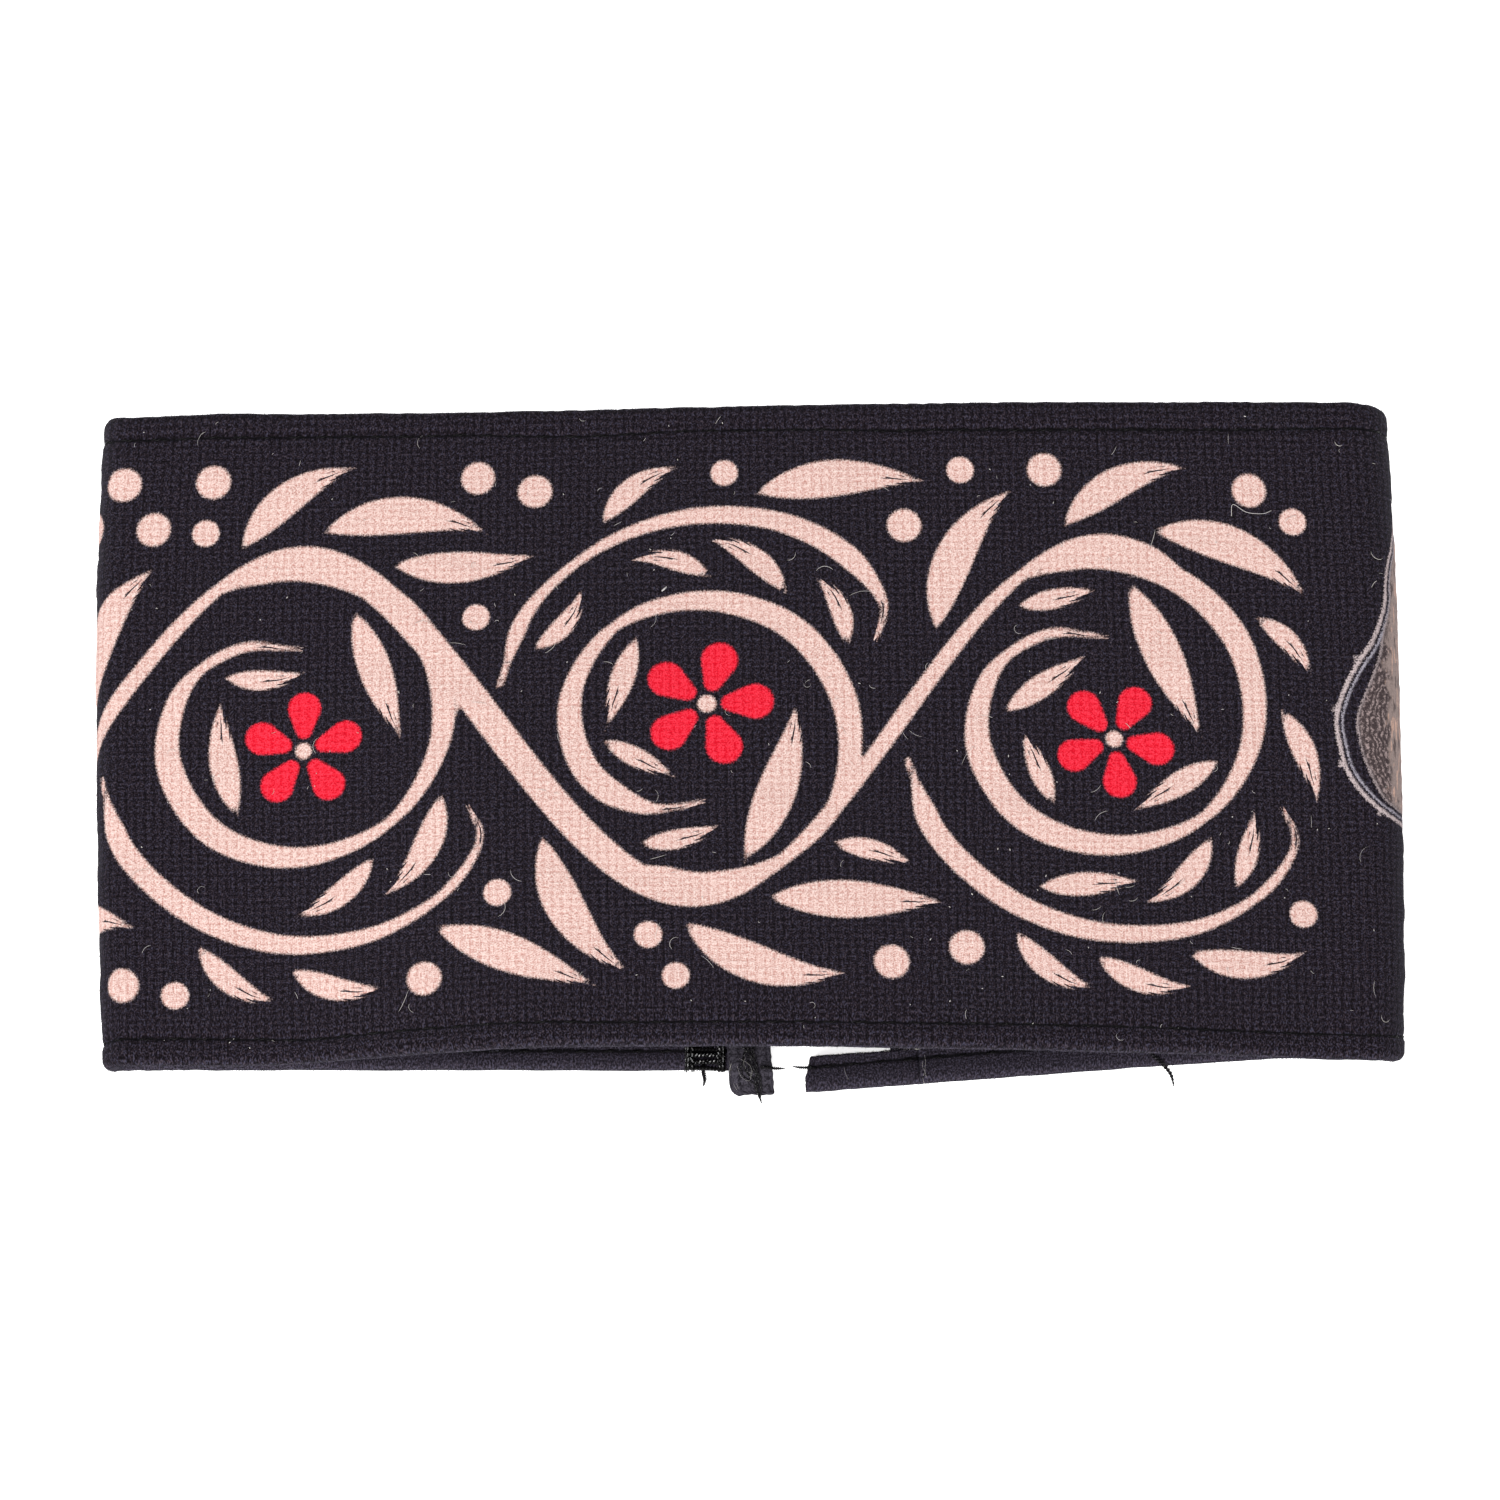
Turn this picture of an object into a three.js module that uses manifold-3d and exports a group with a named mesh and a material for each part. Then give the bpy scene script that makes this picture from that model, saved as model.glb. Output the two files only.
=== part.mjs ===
// A printed cloth armband, lying as a flattened loop. One strip of cloth with hems turned to the
// inside runs along the back, round the left fold, over the bulging front, round the right fold
// and back again. A plain stretch piece joins its two ends behind the front.
// Millimetres, +Z up. The back rests on z = 0, +X is to the viewer's right and +Y to the top edge.

import * as THREE from 'three';
import { mergeVertices } from 'three/addons/utils/BufferGeometryUtils.js';
import Module from 'manifold-3d';

// Driving sizes of the cloth
const clothThickness = 1.3;
const hemThickness = 2 * clothThickness;
const hemWidth = 5.0;
const hemStepSlope = 0.3;
const stitchInset = 4.0;
const grooveDepth = 0.25;
const grooveHalfWidth = 0.35;
const pieceGap = 0.3;

// The front's two long edges, seen from above
const frontLowY = -46.45;
const frontTopYLeft = 48.65;
const frontTopYRight = 49.75;

// How high the outer face of the front lies above the table along its two long edges
const frontRows = [
  { x: -88, low: 6.0, top: 9.0 },
  { x: -77, low: 6.0, top: 9.3 },
  { x: -66, low: 6.7, top: 9.8 },
  { x: -55, low: 10.2, top: 10.3 },
  { x: -44, low: 13.9, top: 10.7 },
  { x: -33, low: 16.9, top: 11.2 },
  { x: -22, low: 17.9, top: 11.9 },
  { x: 0, low: 18.4, top: 13.2 },
  { x: 22, low: 17.0, top: 13.9 },
  { x: 44, low: 14.8, top: 14.1 },
  { x: 66, low: 12.2, top: 13.8 },
  { x: 78, low: 10.2, top: 13.3 },
  { x: 86, low: 9.6, top: 13.0 },
];

// Each fold's outermost line at the low and the top edge, and the back's edge next to it
const folds = {
  left: { low: { x: -91.4, backY: -45.9 }, top: { x: -92.7, backY: 48.7 } },
  right: { low: { x: 92.3, backY: -43.3 }, top: { x: 91.3, backY: 50.2 } },
};
const foldBow = 0.0095;

// Where the strip's two ends lie on the back
const leftEndX = 2.1;
const rightEnd = { low: { x: 8.2, y: -49.1 }, top: { x: 1.1, y: 46.1 } };
const tailLength = 12.6;
const tailHeight = 5.1;

// Number of steps along each stretch of the loop
const backSteps = 6;
const foldSteps = 12;
const frontStepsPerRow = 4;
const edgeArcSteps = 4;
const wallLevels = [0.25, 0.5, 0.75];

// The plain stretch piece behind the front
const elastic = { xMin: -2.6, xMax: 27.0, halfHeight: 30.0, thickness: 1.3, corner: 1.0 };

// The cloth facing across the left end: places along it, its two sides and its lower face
const tabThickness = 1.3;
const tabRows = [
  { y: -49.85, xMin: -1.7, xMax: 3.3, z: 1.75 },
  { y: -49.2, xMin: -2.8, xMax: 3.25, z: 1.9 },
  { y: -48.2, xMin: -3.1, xMax: 3.2, z: 2.2 },
  { y: -46.8, xMin: -3.15, xMax: 3.15, z: 2.95 },
  { y: -45.6, xMin: -3.15, xMax: 3.1, z: 3.2 },
  { y: -20.0, xMin: -3.15, xMax: 3.1, z: 3.2 },
  { y: 20.0, xMin: -3.15, xMax: 3.1, z: 3.2 },
  { y: 47.6, xMin: -3.15, xMax: 3.1, z: 3.2 },
];

// The block of thread beside the facing
const tack = { x: -6.25, y: -43.75, width: 5.3, height: 4.5, thickness: 0.7, corner: 0.5 };

const wasm = await Module();
wasm.setup();

function toSolid(geometry) {
  const bare = geometry.clone();
  bare.deleteAttribute('normal');
  bare.deleteAttribute('uv');
  const merged = mergeVertices(bare, 1e-4);
  return new wasm.Manifold(new wasm.Mesh({
    numProp: 3,
    vertProperties: new Float32Array(merged.attributes.position.array),
    triVerts: new Uint32Array(merged.index.array),
  }));
}

function fromSolid(solid) {
  const mesh = solid.getMesh();
  const geometry = new THREE.BufferGeometry();
  geometry.setAttribute('position', new THREE.BufferAttribute(mesh.vertProperties, 3));
  geometry.setIndex(new THREE.BufferAttribute(mesh.triVerts, 1));
  geometry.computeVertexNormals();
  return geometry;
}

// A closed skin over a row of closed outlines that all have the same number of points,
// each outline going anticlockwise when seen from the row's far end
function loft(outlines) {
  const pointsPerOutline = outlines[0].length;
  const positions = outlines.flat().flatMap((point) => [point.x, point.y, point.z]);
  const triangles = [];
  for (let i = 0; i < outlines.length - 1; i += 1) {
    for (let j = 0; j < pointsPerOutline; j += 1) {
      const near = i * pointsPerOutline + j;
      const nearNext = i * pointsPerOutline + ((j + 1) % pointsPerOutline);
      const far = near + pointsPerOutline;
      const farNext = nearNext + pointsPerOutline;
      triangles.push(near, nearNext, farNext, near, farNext, far);
    }
  }
  const lastStart = (outlines.length - 1) * pointsPerOutline;
  for (const [a, b, c] of capTriangles(outlines[0])) {
    triangles.push(a, c, b);
  }
  for (const [a, b, c] of capTriangles(outlines[outlines.length - 1])) {
    triangles.push(lastStart + a, lastStart + b, lastStart + c);
  }
  const geometry = new THREE.BufferGeometry();
  geometry.setAttribute('position', new THREE.Float32BufferAttribute(positions, 3));
  geometry.setIndex(triangles);
  geometry.computeVertexNormals();
  return geometry;
}

// The triangles that fill a flat outline, turned the way that the outline runs
function capTriangles(outline) {
  const normal = new THREE.Vector3();
  outline.forEach((point, index) => {
    const next = outline[(index + 1) % outline.length];
    normal.add(new THREE.Vector3().crossVectors(point, next));
  });
  const toPlane = new THREE.Quaternion().setFromUnitVectors(
    normal.normalize(), new THREE.Vector3(0, 0, 1));
  const flat = outline.map((point) => {
    const turned = point.clone().applyQuaternion(toPlane);
    return new THREE.Vector2(turned.x, turned.y);
  });
  return THREE.ShapeUtils.triangulateShape(flat, []);
}

// The front's height columns as one smooth curve through the rows
const frontCurve = new THREE.CatmullRomCurve3(
  frontRows.map((row) => new THREE.Vector3(row.x, row.low, row.top)), false, 'catmullrom', 0.5);

function foldOf(side, edge) {
  const row = side === 'left' ? frontRows[0] : frontRows[frontRows.length - 1];
  const radius = row[edge] / 2;
  const outermost = folds[side][edge].x;
  const centreX = side === 'left' ? outermost + radius : outermost - radius;
  return { radius, centreX, backY: folds[side][edge].backY };
}

function frontY(edge, share) {
  return edge === 'low' ? frontLowY : THREE.MathUtils.lerp(frontTopYLeft, frontTopYRight, share);
}

// One long edge of the strip's outer face, as points from the left end round to the right end
function edgePoints(edge) {
  const points = [];
  const left = foldOf('left', edge);
  const right = foldOf('right', edge);
  for (let i = 0; i < backSteps; i += 1) {
    const x = THREE.MathUtils.lerp(leftEndX, left.centreX, i / backSteps);
    points.push(new THREE.Vector3(x, left.backY, 0));
  }
  for (let i = 0; i < foldSteps; i += 1) {
    const turn = (Math.PI * i) / foldSteps;
    const y = THREE.MathUtils.lerp(left.backY, frontY(edge, 0), (1 - Math.cos(turn)) / 2);
    points.push(new THREE.Vector3(
      left.centreX - left.radius * Math.sin(turn), y, left.radius * (1 - Math.cos(turn))));
  }
  const frontSteps = (frontRows.length - 1) * frontStepsPerRow;
  const tableStart = frontRows[0].x;
  const tableEnd = frontRows[frontRows.length - 1].x;
  for (let i = 0; i < frontSteps; i += 1) {
    const row = frontCurve.getPoint(i / frontSteps);
    const share = (row.x - tableStart) / (tableEnd - tableStart);
    const x = THREE.MathUtils.lerp(left.centreX, right.centreX, share);
    points.push(new THREE.Vector3(x, frontY(edge, share), edge === 'low' ? row.y : row.z));
  }
  for (let i = 0; i < foldSteps; i += 1) {
    const turn = (Math.PI * i) / foldSteps;
    const y = THREE.MathUtils.lerp(frontY(edge, 1), right.backY, (1 - Math.cos(turn)) / 2);
    points.push(new THREE.Vector3(
      right.centreX + right.radius * Math.sin(turn), y, right.radius * (1 + Math.cos(turn))));
  }
  const end = rightEnd[edge];
  for (let i = 0; i <= backSteps; i += 1) {
    points.push(new THREE.Vector3(right.centreX, right.backY, 0)
      .lerp(new THREE.Vector3(end.x, end.y, 0), i / backSteps));
  }
  return points;
}

// The strip's outline across its height: inset is the distance in from an edge,
// depth the distance in from the outer face
function hemOutline() {
  const outline = [
    { inset: hemWidth + hemStepSlope, depth: clothThickness },
    { inset: hemWidth, depth: hemThickness },
  ];
  for (let i = 0; i <= edgeArcSteps; i += 1) {
    const turn = (Math.PI * i) / edgeArcSteps;
    outline.push({
      inset: (hemThickness / 2) * (1 - Math.sin(turn)),
      depth: (hemThickness / 2) * (1 + Math.cos(turn)),
    });
  }
  outline.push(
    { inset: stitchInset - grooveHalfWidth, depth: 0 },
    { inset: stitchInset, depth: grooveDepth },
    { inset: stitchInset + grooveHalfWidth, depth: 0 },
  );
  return outline;
}

function stripOutline(low, top, lowTangent, topTangent) {
  const height = low.distanceTo(top);
  const rise = top.clone().sub(low).normalize();
  const hem = hemOutline();
  const stops = [
    ...hem.map((stop) => ({ across: height - stop.inset, depth: stop.depth })),
    ...wallLevels.toReversed().map((level) => ({ across: level * height, depth: 0 })),
    ...hem.toReversed().map((stop) => ({ across: stop.inset, depth: stop.depth })),
    ...wallLevels.map((level) => ({ across: level * height, depth: clothThickness })),
  ];
  return stops.map((stop) => {
    const level = stop.across / height;
    const tangent = lowTangent.clone().lerp(topTangent, level);
    const outward = tangent.cross(rise).normalize();
    const point = low.clone().lerp(top, level);
    point.x *= 1 + foldBow * 4 * level * (1 - level);
    return point.addScaledVector(outward, -stop.depth);
  });
}

function tangents(points) {
  return points.map((point, index) => {
    const before = points[Math.max(index - 1, 0)];
    const after = points[Math.min(index + 1, points.length - 1)];
    return after.clone().sub(before).normalize();
  });
}

function printedBand() {
  const lowEdge = edgePoints('low');
  const topEdge = edgePoints('top');
  const lowTangents = tangents(lowEdge);
  const topTangents = tangents(topEdge);
  const outlines = lowEdge.map((low, i) => (
    stripOutline(low, topEdge[i], lowTangents[i], topTangents[i])));
  return fromSolid(toSolid(loft(outlines)).subtract(toSolid(rightEndCut())));
}

// Above the hem tail, the right end of the strip is cut back to where the stretch piece holds it
function rightEndCut() {
  const along = new THREE.Vector3(
    folds.right.low.x - rightEnd.low.x, folds.right.low.backY - rightEnd.low.y, 0).normalize();
  const slant = Math.atan2(along.y, along.x);
  const reach = 20;
  const cutHeight = 110;
  const cut = new THREE.BoxGeometry(reach, cutHeight, reach);
  cut.translate(tailLength - reach / 2, tailHeight + cutHeight / 2, 0);
  cut.rotateZ(slant);
  cut.translate(rightEnd.low.x, rightEnd.low.y, 0);
  return cut;
}

function endTab() {
  return loft(tabRows.map((row) => [
    new THREE.Vector3(row.xMin, row.y, row.z),
    new THREE.Vector3(row.xMin, row.y, row.z + tabThickness),
    new THREE.Vector3(row.xMax, row.y, row.z + tabThickness),
    new THREE.Vector3(row.xMax, row.y, row.z),
  ]));
}

function roundedPlate(width, height, thickness, corner) {
  const plan = new THREE.Shape();
  const x = width / 2;
  const y = height / 2;
  plan.absarc(x - corner, y - corner, corner, 0, Math.PI / 2);
  plan.absarc(-x + corner, y - corner, corner, Math.PI / 2, Math.PI);
  plan.absarc(-x + corner, -y + corner, corner, Math.PI, 1.5 * Math.PI);
  plan.absarc(x - corner, -y + corner, corner, 1.5 * Math.PI, 2 * Math.PI);
  return new THREE.ExtrudeGeometry(plan, { depth: thickness, bevelEnabled: false, curveSegments: 4 });
}

function piece(name, geometry, colour, roughness) {
  const material = new THREE.MeshStandardMaterial({ color: colour, roughness, metalness: 0 });
  const mesh = new THREE.Mesh(geometry, material);
  mesh.name = name;
  return mesh;
}

const armband = new THREE.Group();

armband.add(piece('printed_band', printedBand(), '#2b262f', 0.95));

const stretchPiece = piece('elastic_strip', roundedPlate(
  elastic.xMax - elastic.xMin, 2 * elastic.halfHeight, elastic.thickness, elastic.corner), '#1c1a1e', 0.8);
stretchPiece.position.set((elastic.xMin + elastic.xMax) / 2, 0, clothThickness + pieceGap);
armband.add(stretchPiece);

armband.add(piece('end_tab', endTab(), '#322e3c', 0.95));

const threadBlock = piece('bar_tack', roundedPlate(
  tack.width, tack.height, tack.thickness, tack.corner), '#141316', 0.5);
threadBlock.position.set(tack.x, tack.y, hemThickness + pieceGap);
armband.add(threadBlock);

export default armband;
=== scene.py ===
# %% [markdown]
# A cloth armband, lying flat
# This lesson dresses a plain model of a cloth armband. The plain model is the frame: it fixes the
# place and size of every piece, and nothing here moves it. The lesson replaces its four plain
# pieces by sewn cloth, webbing and thread, and prints a floral scroll on the cloth.

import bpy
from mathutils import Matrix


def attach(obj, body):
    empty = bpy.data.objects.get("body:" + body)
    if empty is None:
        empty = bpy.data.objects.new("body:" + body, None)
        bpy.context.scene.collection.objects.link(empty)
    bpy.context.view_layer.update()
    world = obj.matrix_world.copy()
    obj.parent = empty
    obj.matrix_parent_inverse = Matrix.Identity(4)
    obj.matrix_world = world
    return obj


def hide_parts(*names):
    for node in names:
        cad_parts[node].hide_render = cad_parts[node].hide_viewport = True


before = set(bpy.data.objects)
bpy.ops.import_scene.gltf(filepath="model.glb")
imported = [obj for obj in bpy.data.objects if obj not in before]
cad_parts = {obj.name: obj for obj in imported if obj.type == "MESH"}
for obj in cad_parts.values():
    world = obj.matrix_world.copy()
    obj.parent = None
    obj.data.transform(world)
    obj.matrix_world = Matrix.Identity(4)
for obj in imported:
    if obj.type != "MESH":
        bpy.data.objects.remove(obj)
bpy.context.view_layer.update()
print("frame nodes:", sorted(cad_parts))

# %% Libraries and units
import math

import bpy
import numpy as np

MM = 0.001
MAIN_BODY = "root"

# %% [markdown]
# The camera
# The band lies on a table and is seen from almost straight above, with a long lens from well away,
# so its far edge looks as long as its near one. The camera is found from an angle, a distance and
# the point that it looks at, which is easier to read than a place and three turns.

# %% Camera
CAMERA_ELEVATION = math.radians(74)
CAMERA_DISTANCE = 1.48229
CAMERA_TARGET_HEIGHT = 5 * MM
LENS_MM = 250
SENSOR_MM = 36

camera_data = bpy.data.cameras.new("camera")
camera_data.lens = LENS_MM
camera_data.sensor_width = SENSOR_MM
camera = bpy.data.objects.new("camera", camera_data)
camera.location = (
    0,
    -math.cos(CAMERA_ELEVATION) * CAMERA_DISTANCE,
    CAMERA_TARGET_HEIGHT + math.sin(CAMERA_ELEVATION) * CAMERA_DISTANCE,
)
camera.rotation_euler = (math.pi / 2 - CAMERA_ELEVATION, 0, 0)
bpy.context.scene.collection.objects.link(camera)
bpy.context.scene.camera = camera
print("camera stands", [round(x, 3) for x in camera.location])

# %% [markdown]
# Light and table
# A product photograph on white has broad lamps overhead and in front, and white walls around, so
# that shadows are faint. The table is white acrylic that also glows a little from below, which is
# how such photographs lose the rest of their shadows. The camera sees the table glow a little more
# than the band does, so that the last shadows in the gaps go white but nothing is lit from below.
# The key lamp stands in front and to the left.

# %% Lamps, world and table
WORLD_STRENGTH = 0.85
LAMPS = [
    {"name": "key_lamp", "place": (-0.45, -1.05, 0.85), "size": 1.2, "watts": 30.0},
    {"name": "fill_lamp", "place": (0.4, 0.4, 1.1), "size": 1.0, "watts": 4.0},
]
TABLE_SIZE = 6.0
TABLE_DROP = 0.02 * MM
TABLE_GLOW = 0.36
TABLE_WHITENED = 0.42


def deselect_all():
    bpy.ops.object.select_all(action="DESELECT")


for row in LAMPS:
    deselect_all()
    bpy.ops.object.light_add(type="AREA", location=row["place"])
    lamp = bpy.context.object
    lamp.name = row["name"]
    lamp.data.shape = "DISK"
    lamp.data.size = row["size"]
    lamp.data.energy = row["watts"]
    lamp.rotation_euler = (-lamp.location).to_track_quat("-Z", "Y").to_euler()

world = bpy.data.worlds.new("studio_world")
world.use_nodes = True
world.node_tree.nodes["Background"].inputs["Color"].default_value = (1, 1, 1, 1)
world.node_tree.nodes["Background"].inputs["Strength"].default_value = WORLD_STRENGTH
bpy.context.scene.world = world
bpy.context.scene.view_settings.view_transform = "Standard"

deselect_all()
bpy.ops.mesh.primitive_plane_add(size=TABLE_SIZE, location=(0, 0, -TABLE_DROP))
table = bpy.context.object
table.name = "table"
print("lamps:", [row["name"] for row in LAMPS])

# %% [markdown]
# A small language for materials
# Every finish here is a node tree. Written out node by node, a tree is long and hard to follow, so
# a small helper adds a node, fills its sockets and gives its result in one call. A value given to
# it may be a number, a colour or another node's result. Results can be added and multiplied with
# the usual signs, and each sign adds the math node that does it.


# %% Material helper
class Result:
    """What one node gives. A sum, difference or product of results is a new node's result."""

    def __init__(self, finish, socket):
        self.finish = finish
        self.socket = socket

    def __add__(self, other):
        return self.finish.math("ADD", self, other)

    def __sub__(self, other):
        return self.finish.math("SUBTRACT", self, other)

    def __rsub__(self, other):
        return self.finish.math("SUBTRACT", other, self)

    def __mul__(self, other):
        return self.finish.math("MULTIPLY", self, other)

    def __abs__(self):
        return self.finish.math("ABSOLUTE", self)


class Finish:
    """A material's node tree, with short calls for the nodes used here."""

    def __init__(self, name):
        self.material = bpy.data.materials.new(name)
        self.material.use_nodes = True
        self.tree = self.material.node_tree
        self.shader = self.tree.nodes["Principled BSDF"]

    def put(self, socket, value):
        if isinstance(value, Result):
            self.tree.links.new(value.socket, socket)
        elif isinstance(value, tuple) and len(socket.default_value) == 4:
            socket.default_value = (*value, 1)
        else:
            socket.default_value = value

    def add(self, kind, result=0, inputs=None, **settings):
        node = self.tree.nodes.new("ShaderNode" + kind)
        for name, value in settings.items():
            setattr(node, name, value)
        for key, value in (inputs or {}).items():
            self.put(node.inputs[key], value)
        return Result(self, node.outputs[result])

    def math(self, operation, *values):
        return self.add("Math", inputs=dict(enumerate(values)), operation=operation)

    def ramp(self, value, low, high, to_low=0.0, to_high=1.0):
        inputs = {"Value": value, "From Min": low, "From Max": high, "To Min": to_low, "To Max": to_high}
        return self.add("MapRange", inputs=inputs, interpolation_type="SMOOTHSTEP")

    def mix(self, share, first, second):
        return self.add("Mix", result=2, inputs={0: share, 6: first, 7: second}, data_type="RGBA")

    def noise(self, vector, scale=1.0, detail=2.0, roughness=0.5):
        inputs = {"Vector": vector, "Scale": scale, "Detail": detail, "Roughness": roughness}
        return self.add("TexNoise", inputs=inputs)

    def stretch(self, vector, x_scale, y_scale):
        return self.add("Mapping", inputs={"Vector": vector, "Scale": (x_scale, y_scale, 1.0)})

    def split(self, vector):
        """The x and the y of a place."""
        return [self.add("SeparateXYZ", result=axis, inputs={0: vector}) for axis in range(2)]

    def join(self, x, y):
        return self.add("CombineXYZ", inputs={0: x, 1: y})

    def attribute(self, name):
        return self.add("Attribute", result=2, attribute_name=name)

    def flat_place(self):
        return self.add("UVMap", uv_map="pattern")

    def object_place(self):
        return self.add("TexCoord", result=3)

    def bump(self, height, distance, strength):
        inputs = {"Height": height, "Distance": distance, "Strength": strength}
        self.put(self.shader.inputs["Normal"], self.add("Bump", inputs=inputs))

    def surface(self, **sockets):
        for name, value in sockets.items():
            self.put(self.shader.inputs[name.replace("_", " ")], value)
        return self.material


# %% Table finish
TABLE_LOW = (0.93, 0.93, 0.93)
TABLE_HIGH = (0.96, 0.96, 0.96)
TABLE_GRAIN_SCALE = 900.0

table_finish = Finish("pale_table")
table_grain = table_finish.noise(table_finish.object_place(), TABLE_GRAIN_SCALE, detail=1.0)
seen_directly = table_finish.add("LightPath")
table_finish.surface(
    Base_Color=table_finish.mix(table_grain, TABLE_LOW, TABLE_HIGH),
    Roughness=0.8,
    Emission_Color=(1.0, 1.0, 1.0),
    Emission_Strength=seen_directly * TABLE_WHITENED + TABLE_GLOW,
)
table_finish.material.cycles.emission_sampling = "NONE"
table.data.materials.append(table_finish.material)
print("table finish:", table_finish.material.name)

# %% [markdown]
# The route of the cloth
# The band is one strip of cloth that has been pressed flat. Seen from the end it runs along the
# back, round the left fold, over the bulging front, round the right fold and back again. Its low
# and its top edge take slightly different ways, because the front bulges more at the low edge.
# The two edges are worked out first, from the same sizes as the frame, and all that follows is
# drawn flat on the cloth and then laid round this route, as a real print and real stitches are.

# %% Sizes of the route, in millimetres
FRONT_LOW_Y = -46.45
FRONT_TOP_Y = {"left": 48.65, "right": 49.75}
FRONT_HEIGHTS = {
    "x": [-88, -77, -66, -55, -44, -33, -22, 0, 22, 44, 66, 78, 86],
    "low": [6.0, 6.0, 6.7, 10.2, 13.9, 16.9, 17.9, 18.0, 16.8, 14.8, 12.2, 10.2, 9.6],
    "top": [9.5, 10.6, 10.7, 10.7, 10.8, 11.2, 11.9, 13.2, 13.9, 14.1, 13.8, 13.3, 13.0],
}
FOLD_LINES = {
    "left": {"low": {"x": -91.4, "back_y": -46.2}, "top": {"x": -92.7, "back_y": 48.7}},
    "right": {"low": {"x": 92.3, "back_y": -43.8}, "top": {"x": 91.3, "back_y": 50.2}},
}
FOLD_SPREAD = {"left": {"low": -0.35, "top": 0.55}, "right": {"low": -0.5, "top": 0.0}}
FOLD_BOW = 0.0095
LEFT_BOW = 0.004
RIGHT_DIP = {"low": 0.5, "top": 0.0}
DIP_REACH = 16.0
OUTWARD = {"left": -1, "right": 1}
LEFT_END_X = 2.1
RIGHT_END = {"low": (7.9, -49.45), "top": (1.1, 46.1)}
TAIL_LENGTH = 12.6
TAIL_HEIGHT = 5.1
CLOTH_HEIGHT = 95.5
BACK_SAMPLES = 80
FOLD_SAMPLES = 60
FRONT_SAMPLES = 420
print("front heights are known at", len(FRONT_HEIGHTS["x"]), "places")


# %% Smooth curves, blends and humps
def smooth_curve(values, count):
    """A smooth curve through evenly spread values, read at a number of places."""
    before = 2 * values[0] - values[1]
    after = 2 * values[-1] - values[-2]
    padded = np.array([before, *values, after], float)
    place = np.linspace(0, len(values) - 1, count)
    span = np.minimum(place.astype(int), len(values) - 2)
    t = place - span
    p0, p1, p2, p3 = (padded[span + k] for k in range(4))
    bend = (2 * p0 - 5 * p1 + 4 * p2 - p3) * t**2
    twist = (3 * p1 - p0 - 3 * p2 + p3) * t**3
    return 0.5 * (2 * p1 + (p2 - p0) * t + bend + twist)


def blend_between(a, b, share):
    return a + (b - a) * share


def bell(away, reach):
    """A smooth hump: 1 in its middle, about a third at its reach and soon nothing."""
    return np.exp(-((away / reach) ** 2))


# %% The two long edges
def edge_route(edge):
    """One long edge of the cloth's outer face, from its left end round to its right end."""
    radius = {"left": FRONT_HEIGHTS[edge][0] / 2, "right": FRONT_HEIGHTS[edge][-1] / 2}
    centre = {side: FOLD_LINES[side][edge]["x"] - OUTWARD[side] * radius[side] for side in OUTWARD}
    back_y = {side: FOLD_LINES[side][edge]["back_y"] for side in OUTWARD}
    front_y = {side: FRONT_LOW_Y if edge == "low" else FRONT_TOP_Y[side] for side in OUTWARD}
    turn = np.linspace(0, np.pi, FOLD_SAMPLES, endpoint=False)
    risen = (1 - np.cos(turn)) / 2

    def fold(side, start_y, end_y, height_share):
        y = blend_between(start_y, end_y, risen) + FOLD_SPREAD[side][edge] * np.sin(turn) ** 2
        x = centre[side] + OUTWARD[side] * radius[side] * np.sin(turn)
        return np.stack([x, y, 2 * radius[side] * height_share], 1)

    run = np.linspace(0, 1, BACK_SAMPLES, endpoint=False)
    back_left_x = blend_between(LEFT_END_X, centre["left"], run)
    back_left = np.stack([back_left_x, np.full_like(run, back_y["left"]), np.zeros_like(run)], 1)

    x = smooth_curve(FRONT_HEIGHTS["x"], FRONT_SAMPLES)
    share = (x - x[0]) / (x[-1] - x[0])
    front = np.stack([
        blend_between(centre["left"], centre["right"], share),
        blend_between(front_y["left"], front_y["right"], share),
        smooth_curve(FRONT_HEIGHTS[edge], FRONT_SAMPLES),
    ], 1)[:-1]

    run = np.linspace(0, 1, BACK_SAMPLES)[:, None]
    start = np.array([centre["right"], back_y["right"], 0])
    back_right = blend_between(start, np.array([*RIGHT_END[edge], 0]), run)
    off_fold = 1 - bell(centre["right"] - back_right[:, 0], DIP_REACH)
    back_right[:, 1] += RIGHT_DIP[edge] * (1 - run[:, 0]) * off_fold
    return np.vstack([
        back_left,
        fold("left", back_y["left"], front_y["left"], risen),
        front,
        fold("right", front_y["right"], back_y["right"], 1 - risen),
        back_right,
    ])


def directions(path):
    ahead = np.gradient(path, axis=0)
    return ahead / np.linalg.norm(ahead, axis=1)[:, None]


def lengths_along(path):
    """The length of a path up to each of its points."""
    return np.concatenate([[0], np.cumsum(np.linalg.norm(np.diff(path, axis=0), axis=1))])


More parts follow.
